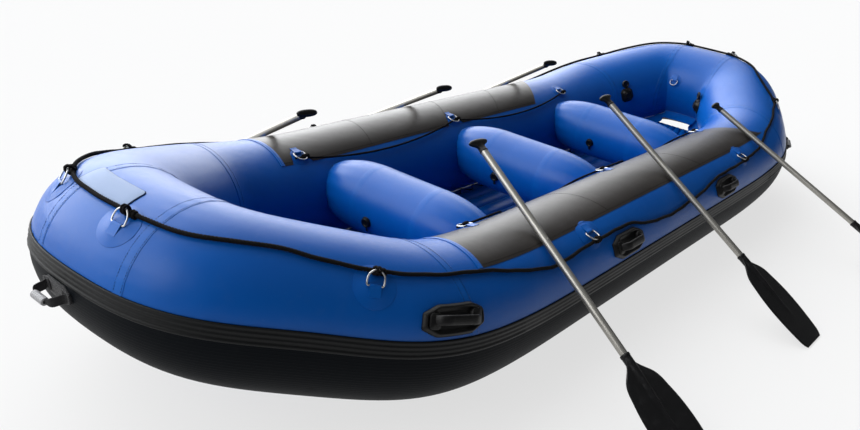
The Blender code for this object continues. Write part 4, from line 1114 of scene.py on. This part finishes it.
def make_carry_loops():
    seats = {"bow": HULL.near_y(LOOP_BOW_Y, -1), "stern": HULL.near_x(LOOP_STERN_X, -1)}
    lift = WRAP_T + GAP
    half = SLEEVE_LENGTH / 2
    route = [(-0.072, 0.0050), (-0.062, 0.0052), (-0.0545, 0.011), (-0.052, 0.024),
             (-0.050, 0.036), (-0.044, 0.046), (-half - 0.002, LOOP_REACH - 0.0008),
             (-0.012, LOOP_REACH), (0.0, LOOP_REACH)]
    route += [(-x, z) for x, z in route[-2::-1]]
    path = smooth_path(route, 70)
    inside = np.clip((np.abs(path[:, 0]) - half) / 0.016, 0.0, 1.0)
    widths = 0.0105 + (0.030 - 0.0105) * inside
    strap = ribbon(path, widths, 0.0026)
    wing = dished(LOOP_BASE[0], LOOP_BASE[1], (0.030, 0.018),
                  ((0.0, -0.001), (0.0, 0.0022), (0.0012, 0.0030), (0.012, 0.0032)))
    pads = []
    for end in (-1, 1):
        pad = dished(0.040, 0.036, (0.006, 0.006), ((0.0, 0.002), (0.0, 0.0058), (0.001, 0.0064),
                                                    (0.010, 0.0066)), 32)
        shift = pad[0].copy()
        shift[..., 0] += end * 0.0555
        pads.append((shift, pad[1]))
    grooves = 7
    z = np.linspace(-half, half, grooves * 8 + 1)
    radius = SLEEVE_R - 0.0011 * (0.5 + 0.5 * np.cos((z / half) * math.pi * grooves)) ** 3
    radius -= 0.0012 * np.clip((np.abs(z) - half + 0.003) / 0.003, 0, 1) ** 2
    profile = [(SLEEVE_BORE, -half), *zip(radius, z), (SLEEVE_BORE, half)]
    profile.append((SLEEVE_BORE, -half))
    sleeve = turned(profile, 28)
    across = Matrix.Translation((0, 0, LOOP_REACH)) @ Matrix.Rotation(math.pi / 2, 4, "Y")
    for name, place in seats.items():
        seat = HULL.seat(place, LOOP_ANGLE, lift)
        raised = [(points + (0, 0, lift), flat) for points, flat in (wing, *pads)]
        grids = draped(place, LOOP_ANGLE, *raised) + placed(seat, *strap)
        shell("webbing_loop_" + name, grids, "hull", WEBBING,
              ["carry_loop_" + name])
        # The grip tube's pale grey finish is a painted highlight.
        shell("grip_tube_" + name, placed(seat @ across, sleeve), "carry_sleeve_%s_body" % name,
              SLEEVE, ["carry_sleeve_" + name], sharp=50.0)
        rows = []
        for end in (-1, 1):
            box = np.array([(end * 0.0555 + dx, dy, 0.0068 + lift) for dx, dy in
                            ((-0.016, -0.014), (0.016, -0.014), (0.016, 0.014), (-0.016, 0.014),
                             (-0.016, -0.014), (0.016, 0.014), (0.016, -0.014), (-0.016, 0.014))])
            rows.append(HULL.drape(box, place, LOOP_ANGLE))
        piece("loop_stitches_" + name,
              along_paths("loop_stitches_" + name, STITCH_TREE, rows, ROPE, Step=0.005,
                          Reach=0.0034), "hull", ROPE)


# ---- thwarts, floor, valves -------------------------------------------------------------
def thwart_point(turn, y, lift=0.0):
    """Points on a thwart's skin about its own axis, before the hull presses its ends."""
    away = np.clip((np.abs(y) - (THWART_HALF - THWART_DOME)) / THWART_DOME, 0.0, 1.0)
    radius = THWART_R * np.clip(1 - away ** 2, 0.0, 1.0) ** (THWART_POWER / 2)
    gather = 1 + 0.010 * np.cos(turn * 16) * away ** 2 * (1 - away) * 4
    radius = radius * gather + lift
    return np.stack(np.broadcast_arrays(radius * np.cos(turn), y, radius * np.sin(turn)), axis=2)


def pressed(points, x):
    """Move a thwart into place and keep its ends off the side tubes."""
    points = points + (x, 0.0, THWART_Z)
    for side in (-1, 1):
        arm = points[..., 1:] - (side * HALF_BEAM, TUBE_Z)
        away = np.linalg.norm(arm, axis=-1, keepdims=True)
        clear = TUBE_R + 0.0006
        arm = np.where(away < clear, arm * clear / np.maximum(away, 1e-6), arm)
        points[..., 1:] = arm + (side * HALF_BEAM, TUBE_Z)
    return points


def make_thwarts():
    share = np.sin(np.linspace(-1.0, 1.0, 81) * math.pi / 2)
    y = share * THWART_HALF
    turn = np.linspace(0.0, 2 * math.pi, 97)
    skin = thwart_point(turn[None, :], y[:, None])
    band_y = THWART_HALF - THWART_DOME
    for number, x in enumerate(THWART_X, 1):
        shell("seat_thwart_%d" % number, [grid(pressed(skin, x))], "hull", BLUE,
              ["thwart_%d" % number])
    tapes = []
    for x in THWART_X:
        for side in (-1, 1):
            width = np.linspace(-0.015, 0.015, 7)
            lift = 0.0005 * (1 - np.linspace(-1, 1, 7) ** 6)[:, None]
            spot = side * band_y + width[:, None]
            top = pressed(thwart_point(turn[None, :], spot, lift), x)
            under = pressed(thwart_point(turn[None, :], spot, -0.001), x)
            tapes += slab(top, under, None, ring=True)
        seat_y = np.linspace(-band_y, band_y, 31)[:, None]
        seam = math.radians(-52) + np.linspace(-1, 1, 7)[None, :] * 0.014 / THWART_R
        top = pressed(thwart_point(seam, seat_y, 0.0009 * (1 - np.linspace(-1, 1, 7) ** 6)), x)
        tapes += slab(top, pressed(thwart_point(seam, seat_y, -0.001), x))
    shell("thwart_tapes", tapes, "hull", TAPE)


def make_skirt():
    """Cloth strip that closes the gap between the floor and the main tube all the way round."""
    place = np.linspace(0.0, Hull.SAMPLES, 361)
    centre, outward = HULL.read(HULL.points, place), HULL.read(HULL.outward, place)
    wall = HULL.skin(place, 218.0, 0.0002)
    reach = math.sqrt(TUBE_R ** 2 - (TUBE_R - FLOOR_T) ** 2) + FLOOR_SIDE_GAP + 0.062
    hem = centre - outward * reach
    hem[:, 2] = centre[:, 2] - TUBE_Z + FLOOR_T - 0.026
    share = np.linspace(0.0, 1.0, 9)[:, None, None]
    top = wall * (1 - share) + hem * share
    ripple = 1 + 0.3 * np.sin(place * (2 * math.pi * 42 / Hull.SAMPLES))
    top[..., 2] -= 0.006 * np.sin(share[..., 0] * math.pi) * ripple
    under = top - np.array((0.0, 0.0, 0.0012))
    shell("floor_skirt", slab(top, under, None, ring=True), "hull", BLUE)


def floor_width(x):
    inset = math.sqrt(TUBE_R ** 2 - (TUBE_R - FLOOR_T) ** 2) + FLOOR_SIDE_GAP
    half = HULL.half[1]
    inner = HULL.points[half] - inset * HULL.outward[half]
    order = np.argsort(inner[:, 0])
    return np.interp(x, inner[order, 0], inner[order, 1])


def rise(x):
    half = HULL.half[1]
    order = np.argsort(HULL.points[half, 0])
    return np.interp(x, HULL.points[half][order, 0], HULL.points[half][order, 2]) - TUBE_Z


def make_floor():
    x = np.linspace(-FLOOR_END_X, FLOOR_END_X, 121)[:, None]
    share = np.linspace(-1.0, 1.0, FLOOR_RIBS * 12 + 1)[None, :]
    within = (share + 1) / 2 * FLOOR_RIBS % 1.0
    crown = np.sqrt(np.clip(1 - (2 * within - 1) ** 2, 0.0, 1.0))
    crown = np.where(np.abs(share) >= 1, 0.0, crown)
    shut = np.clip((FLOOR_END_X - np.abs(x)) / 0.03, 0.0, 1.0) ** 0.5
    edge = np.clip((1 - np.abs(share)) * 12, 0.0, 1.0) ** 0.5
    half = floor_width(x)
    top = FLOOR_T - FLOOR_RIB * 1.6 + FLOOR_RIB * 1.6 * crown * shut - 0.028 * (1 - edge)
    low = 0.006 * (1 - crown) + 0.010 * (1 - edge)
    y = share * half
    flat = np.stack(np.broadcast_arrays(x, y), axis=2)
    top = np.stack(np.broadcast_arrays(x, y, rise(x) + top), axis=2)
    low = np.stack(np.broadcast_arrays(x, y, rise(x) + low), axis=2)
    shell("ribbed_floor", slab(top, low, flat), "hull", BLUE, ["floor"])
    run = np.linspace(-1.55, 1.55, 120)
    rows, laces = [], []
    for side in (-1, 1):
        y = side * (floor_width(run) - 0.030)
        rows.append(np.stack([run, y, rise(run) + FLOOR_T - 0.004], axis=1))
        teeth = np.arange(-1.55, 1.551, 0.05)
        swing = np.where(np.arange(len(teeth)) % 2 == 0, -0.030, 0.004)
        zig = np.stack([teeth, side * (floor_width(teeth) + swing),
                        rise(teeth) + FLOOR_T + np.where(swing < 0, 0.002, 0.006)], axis=1)
        laces.append(smooth_path(zig, 500))
    piece("floor_eyelets", along_paths("floor_eyelets", EYELET_TREE, rows, MOULDED), "hull", MOULDED)
    piece("floor_lacing", along_paths("floor_lacing", ROPE_TREE, laces, ROPE, twist="Z_UP",
                                      Radius=0.0026, Lay=0.014, Step=0.0080), "hull", ROPE)


def valve_body(radius):
    """Screwed-in valve: flange, throat and spring plunger."""
    return turned([(0.0, 0.0006), (0.0045, 0.0006), (0.0050, 0.0030), (0.0085, 0.0030),
                   (0.0090, 0.0004), (radius * 0.55, 0.0004), (radius * 0.58, 0.0024),
                   (radius * 0.96, 0.0018), (radius, -0.001), (0.0, -0.001)], 40)


def cap_form(radius, thick, teeth=18):
    """Cap with a finger-gripped rim and a dished top."""
    profile = np.array([(0.0, thick * 0.72), (radius * 0.55, thick * 0.70),
                        (radius * 0.68, thick * 0.97), (radius * 0.88, thick),
                        (radius * 0.97, thick * 0.86), (radius, thick * 0.5),
                        (radius, thick * 0.12), (radius * 0.94, GAP * 6), (0.0, GAP * 6)])
    points, flat = turned(profile, teeth * 4)
    angle = np.linspace(0.0, 2 * math.pi, teeth * 4 + 1)
    bite = 1 - 0.035 * (0.5 + 0.5 * np.cos(angle * teeth))
    hold = np.array([0, 0, 0, 1, 1, 1, 1, 1, 0])[:, None]
    points[..., :2] *= (1 - hold + hold * bite)[..., None]
    return points, flat


def make_valves():
    turn = math.radians(THWART_VALVE_ANGLE)
    out = Vector((math.cos(turn), 0, math.sin(turn)))
    beam = Vector((0, 1, 0))
    for number, x in enumerate(THWART_X, 1):
        seat = Matrix((beam.cross(out), beam, out)).transposed().to_4x4()
        seat.translation = Vector((x, THWART_VALVE_Y, THWART_Z)) + out * THWART_R
        shell("valve_body_%d" % number, placed(seat, valve_body(VALVE_CAP_R * 1.12)), "hull",
              MOULDED)
        cap = cap_form(VALVE_CAP_R, VALVE_CAP_T)
        lift = cap[0].copy()
        lift[..., 2] += 0.0016
        hinge = VALVE_CAP_R + CAP_HINGE_OUT
        path = smooth_path([(-hinge, 0, CAP_HINGE_UP - 0.0004),
                            (-hinge * 0.90, 0, CAP_HINGE_UP + 0.0008),
                            (-VALVE_CAP_R * 0.8, 0, CAP_HINGE_UP + 0.002)], 12)
        tail = smooth_path([(-hinge, 0, CAP_HINGE_UP - 0.0006), (-hinge - 0.006, 0, 0.0022),
                            (-hinge - 0.014, 0, 0.0016)], 12)
        tab = swept(path, bar_section(0.010, 0.0024), up=(0.001, 0, 1))
        root = swept(tail, bar_section(0.012, 0.0024), up=(0.001, 0, 1))
        shell("screw_cap_%d" % number, placed(seat, (lift, cap[1]), tab),
              "valve_cap_%d_body" % number, MOULDED, ["valve_cap_%d" % number],
              sharp=40.0)
        shell("cap_strap_%d" % number, placed(seat, root), "hull", MOULDED)
    seat = Matrix.Translation((FLOOR_VALVE_X, 0, FLOOR_T - FLOOR_RIB * 0.4))
    cap = cap_form(VALVE_CAP_R, VALVE_CAP_T)
    shell("floor_valve",
          placed(seat, turned(
        [(0.0, 0.002), (0.026, 0.002), (0.030, -0.012), (0.0, -0.012)], 36), cap),
          "hull", MOULDED, sharp=40.0)
    for name, (x, angle) in CHAMBER_VALVES.items():
        place = HULL.near_x(x, SIDES[name])
        boot = dished(0.084, 0.084, (0.018, 0.018), ((0.0, -0.002), (0.0, 0.003), (0.004, 0.006),
                                                     (0.010, 0.008), (0.016, 0.018),
                                                     (0.020, 0.0215), (0.028, 0.0222)), 64)
        flange = turned([(0.0, 0.0255), (0.0095, 0.0255), (0.0105, 0.0235), (0.014, 0.0235),
                         (0.0155, 0.0265), (0.0185, 0.0262), (0.020, 0.021), (0.0, 0.018)], 36)
        tether = smooth_path([(0, -0.024, 0.022), (0, -0.034, 0.019), (0, -0.046, 0.011),
                              (0, -0.058, 0.010), (0, -CHAMBER_CAP_STEP, 0.0125)], 24)
        strap = swept(tether, bar_section(0.014, 0.003), up=(0, 0.001, 1))
        cap = cap_form(CHAMBER_CAP_R, 0.014)
        shift = cap[0].copy()
        shift[..., 1] -= CHAMBER_CAP_STEP
        shift[..., 2] += 0.002
        grids = draped(place, angle, boot) + placed(HULL.seat(place, angle), flange, strap,
                                                    (shift, cap[1]))
        shell("inflation_valve_" + name, grids, "hull", MOULDED,
              ["chamber_valve_" + name], sharp=40.0)


def make_label():
    """Plain pale panel on the bow's crown."""
    place = HULL.near_y(0.064, -1)
    half, corner = (0.124, 0.044), 0.014
    quarter = np.linspace(0.0, math.pi / 2, 7)
    outline = []
    for turn, (sx, sy) in enumerate(((1, 1), (-1, 1), (-1, -1), (1, -1))):
        swing = quarter + turn * math.pi / 2
        outline += zip(sx * (half[0] - corner) + corner * np.cos(swing),
                       sy * (half[1] - corner) + corner * np.sin(swing))
    outline = spread(np.array(outline), 96)
    for name, finish, steps in (
            ("bow_panel", PALE, ((1.0, 0.0), (1.0, 0.0024), (0.985, 0.0028), (0.7, 0.0028),
                                 (0.35, 0.0028))),
            ("bow_panel_edge", THREAD, ((1.03, -0.0004), (1.03, 0.0014), (0.99, 0.0018),
                                        (0.8, 0.0018)))):
        loops = [np.append(outline * s, np.full((96, 1), h), axis=1) for s, h in steps]
        shell(name, draped(place, 69.8, closed(loops)), "hull", finish)


# ---- paddles ----------------------------------------------------------------------------
def paddle_seat(x, angle, yaw, side):
    turn = math.radians(angle)
    lean = Vector((math.tan(math.radians(yaw)), -side * math.sin(turn),
                   math.cos(turn))).normalized()
    clear = TUBE_R + GAP + WEAR_T + PADDLE_REST_GAP + SHAFT_R
    centre = Vector(HULL.points[HULL.near_x(x, side)])
    touch = centre + Vector((0, side * math.cos(turn), math.sin(turn))) * clear
    away = HULL.points[HULL.half[side]] - np.array(touch)
    away -= np.outer(away @ np.array(lean), np.array(lean))
    short = clear - float(np.linalg.norm(away, axis=1).min())
    touch += Vector((0, side * math.cos(turn), math.sin(turn))) * short
    width = Vector((0, 0, 1)).cross(lean).normalized()
    face = lean.cross(width)
    low = BLADE_T / 2 * abs(face.z)
    seat = Matrix((width, face, lean)).transposed().to_4x4()
    seat.translation = touch - lean * (touch.z - low) / lean.z
    return seat


def shaft_forms():
    neck = PADDLE_LENGTH - GRIP_HEIGHT
    tube = turned([(SHAFT_R - SHAFT_WALL, BLADE_LENGTH + 0.0005), (SHAFT_R - 0.0002, BLADE_LENGTH),
                   (SHAFT_R, BLADE_LENGTH + 0.001), (SHAFT_R, 0.70), (SHAFT_R, 0.94),
                   (SHAFT_R, neck + 0.006), (SHAFT_R - SHAFT_WALL, neck + 0.006),
                   (SHAFT_R - SHAFT_WALL, BLADE_LENGTH + 0.0005)], 40)
    button = turned([(0.0, 0.0), (0.0032, 0.0), (0.0036, 0.0009), (0.0024, 0.0017),
                     (0.0, 0.0020)], 16)
    button = placed(Matrix.Translation((0, SHAFT_R - 0.0005, SNAP_BUTTON_Z))
                    @ Matrix.Rotation(-math.pi / 2, 4, "X"), button)
    return [tube] + button


def grip_form():
    """Mushroom T-grip on a ribbed collar."""
    neck = PADDLE_LENGTH - GRIP_HEIGHT
    steps = ((0.004, SHAFT_R * 0.98, SHAFT_R * 0.98), (0.004, SHAFT_R + 0.0011, SHAFT_R + 0.0011),
             (0.007, SHAFT_R + 0.0015, SHAFT_R + 0.0015), (0.010, SHAFT_R + 0.0006, SHAFT_R + 0.0004),
             (0.016, 0.0145, 0.0138), (0.023, 0.0150, 0.0128), (0.030, 0.0190, 0.0126),
             (0.036, 0.0285, 0.0134), (0.0405, 0.0390, 0.0146), (0.044, 0.0440, 0.0152),
             (0.048, 0.0455, 0.0154), (0.052, 0.0435, 0.0148), (0.0560, 0.0360, 0.0128),
             (0.0585, 0.0240, 0.0090), (0.0597, 0.0110, 0.0045))
    angle = np.linspace(0.0, 2 * math.pi, 40, endpoint=False)
    loops = [np.stack([wide * np.sign(np.cos(angle)) * np.abs(np.cos(angle)) ** 0.85,
                       deep * np.sign(np.sin(angle)) * np.abs(np.sin(angle)) ** 0.85,
                       np.full(40, neck + up)], axis=1) for up, wide, deep in steps]
    return closed(loops)


def blade_form():
    """Blade with a raised spine, thinner edges and a flared throat."""
    share, height = (np.array(column) for column in zip(*BLADE_OUTLINE))
    z = np.concatenate([[0.0, 0.002, 0.006, 0.014, 0.028], np.linspace(0.05, 0.445, 40)])
    wide = hermite(height, share, z) * BLADE_WIDTH / 2
    wide *= np.clip(0.90 + 0.10 * (z / 0.02), 0.0, 1.0)
    wide = np.where(z < 0.03, wide * (1 - 0.05 * (1 - z / 0.03) ** 2), wide)
    wide = np.maximum(wide, BLADE_NECK_R)
    across = np.linspace(-1.0, 1.0, 25)
    grow = np.clip((z - 0.06) / 0.36, 0.0, 1.0)[:, None]
    plate = BLADE_T / 2 * (0.45 + 0.55 * np.clip(1 - across[None, :] ** 2, 0, 1) ** 0.5)
    reach = np.abs(across[None, :]) * wide[:, None]
    spine = BLADE_NECK_R * grow ** 0.9
    rib = spine * np.sqrt(np.clip(1 - (reach / np.maximum(spine, 1e-4)) ** 2, 0, 1))
    rim = 0.0009 * np.exp(-((np.abs(across[None, :]) - 0.93) / 0.035) ** 2)
    thick = np.maximum(plate, rib) + rim
    thick *= np.clip((1 - np.abs(across[None, :])) * 30, 0.25, 1.0)
    front = np.stack([across[None, :] * wide[:, None], thick,
                      np.repeat(z[:, None], 25, axis=1)], axis=2)
    behind = front * (1, -1, 1)
    collar = turned([(0.0, 0.40), (BLADE_NECK_R, 0.40), (BLADE_NECK_R, BLADE_LENGTH - 0.012),
                     (BLADE_NECK_R + 0.0012, BLADE_LENGTH - 0.010),
                     (BLADE_NECK_R + 0.0012, BLADE_LENGTH - 0.002),
                     (BLADE_NECK_R, BLADE_LENGTH - GAP), (0.0, BLADE_LENGTH - GAP)], 32)
    return slab(front, behind) + [collar]


def make_paddles():
    shaft, grip, blade = shaft_forms(), grip_form(), blade_form()
    for name, spots in PADDLES.items():
        for number, (x, angle, yaw) in enumerate(spots, 1):
            seat = paddle_seat(x, angle, yaw, SIDES[name])
            body = "paddle_%s_%d" % (name, number)
            shell(body + "_tube", placed(seat, *shaft), body, ALUMINIUM,
                  [body + "_shaft"], sharp=50.0)
            shell(body + "_grip", placed(seat, grip), body, MOULDED, sharp=50.0)
            shell(body + "_paddle_blade", placed(seat, *blade), body, BLADE,
                  [body + "_blade"], sharp=40.0)


make_panels()
make_wraps()
make_wear_patches()
make_handles()
make_rings()
make_ropes()
make_carry_loops()
make_thwarts()
make_floor()
make_skirt()
make_valves()
make_label()
make_paddles()


# ---- stage, light and camera --------------------------------------------------------------
def make_stage():
    mesh = bpy.data.meshes.new("ground")
    mesh.from_pydata([(-60, -60, 0), (60, -60, 0), (60, 60, 0), (-60, 60, 0)], [], [(0, 1, 2, 3)])
    ground = bpy.data.objects.new("ground", mesh)
    bpy.context.scene.collection.objects.link(ground)
    paint = bpy.data.materials.new("pale_ground")
    paint.use_nodes = True
    shader = paint.node_tree.nodes["Principled BSDF"]
    shader.inputs["Base Color"].default_value = (0.16, 0.16, 0.16, 1.0)
    shader.inputs["Emission Color"].default_value = (1.0, 1.0, 1.0, 1.0)
    shader.inputs["Emission Strength"].default_value = 0.70
    shader.inputs["Roughness"].default_value = 0.9
    shader.inputs["Specular IOR Level"].default_value = 0.0
    mesh.materials.append(paint)
    ground.location.z = -0.0008

    world = bpy.data.worlds.new("studio")
    bpy.context.scene.world = world
    world.use_nodes = True
    graph = Graph(world.node_tree)
    where = graph.add("ShaderNodeTexCoord")
    up = graph.add("ShaderNodeSeparateXYZ", {}, {0: where["Generated"]})[2]
    far = graph.add("ShaderNodeVectorMath", {"operation": "DOT_PRODUCT"},
                    {0: where["Generated"], 1: (0.12, 0.95, 0.28)})[1]
    level = 0.04 + up.step(0.25, 1.0) * 0.25 + far.step(0.26, 0.97) * 5.6
    back = world.node_tree.nodes["Background"]
    graph.feed(back.inputs["Strength"], level)
    back.inputs["Color"].default_value = (0.97, 0.985, 1.0, 1.0)

    sun = bpy.data.lights.new("soft_key", "SUN")
    sun.energy = 1.25
    sun.angle = math.radians(35)
    lamp = bpy.data.objects.new("soft_key", sun)
    lamp.rotation_mode = "QUATERNION"
    lamp.rotation_quaternion = Vector((-0.85, 0.22, 0.55)).to_track_quat("Z", "Y")
    bpy.context.scene.collection.objects.link(lamp)
    bpy.context.scene.view_settings.view_transform = "Standard"


def make_camera():
    azimuth, elevation, roll = VIEW_TURN
    back = Vector((math.sin(azimuth) * math.cos(elevation), -math.cos(azimuth) * math.cos(elevation),
                   math.sin(elevation)))
    right = Vector((0, 0, 1)).cross(back).normalized()
    over = back.cross(right)
    across = right * math.cos(roll) + over * math.sin(roll)
    data = bpy.data.cameras.new("view")
    data.sensor_width, data.lens = 36.0, VIEW_LENS
    data.shift_x, data.shift_y = VIEW_SHIFT
    camera = bpy.data.objects.new("view", data)
    camera.matrix_world = (Matrix.Translation(VIEW_PLACE)
                           @ Matrix((across, back.cross(across), back)).transposed().to_4x4())
    bpy.context.scene.collection.objects.link(camera)
    bpy.context.scene.camera = camera


make_stage()
make_camera()
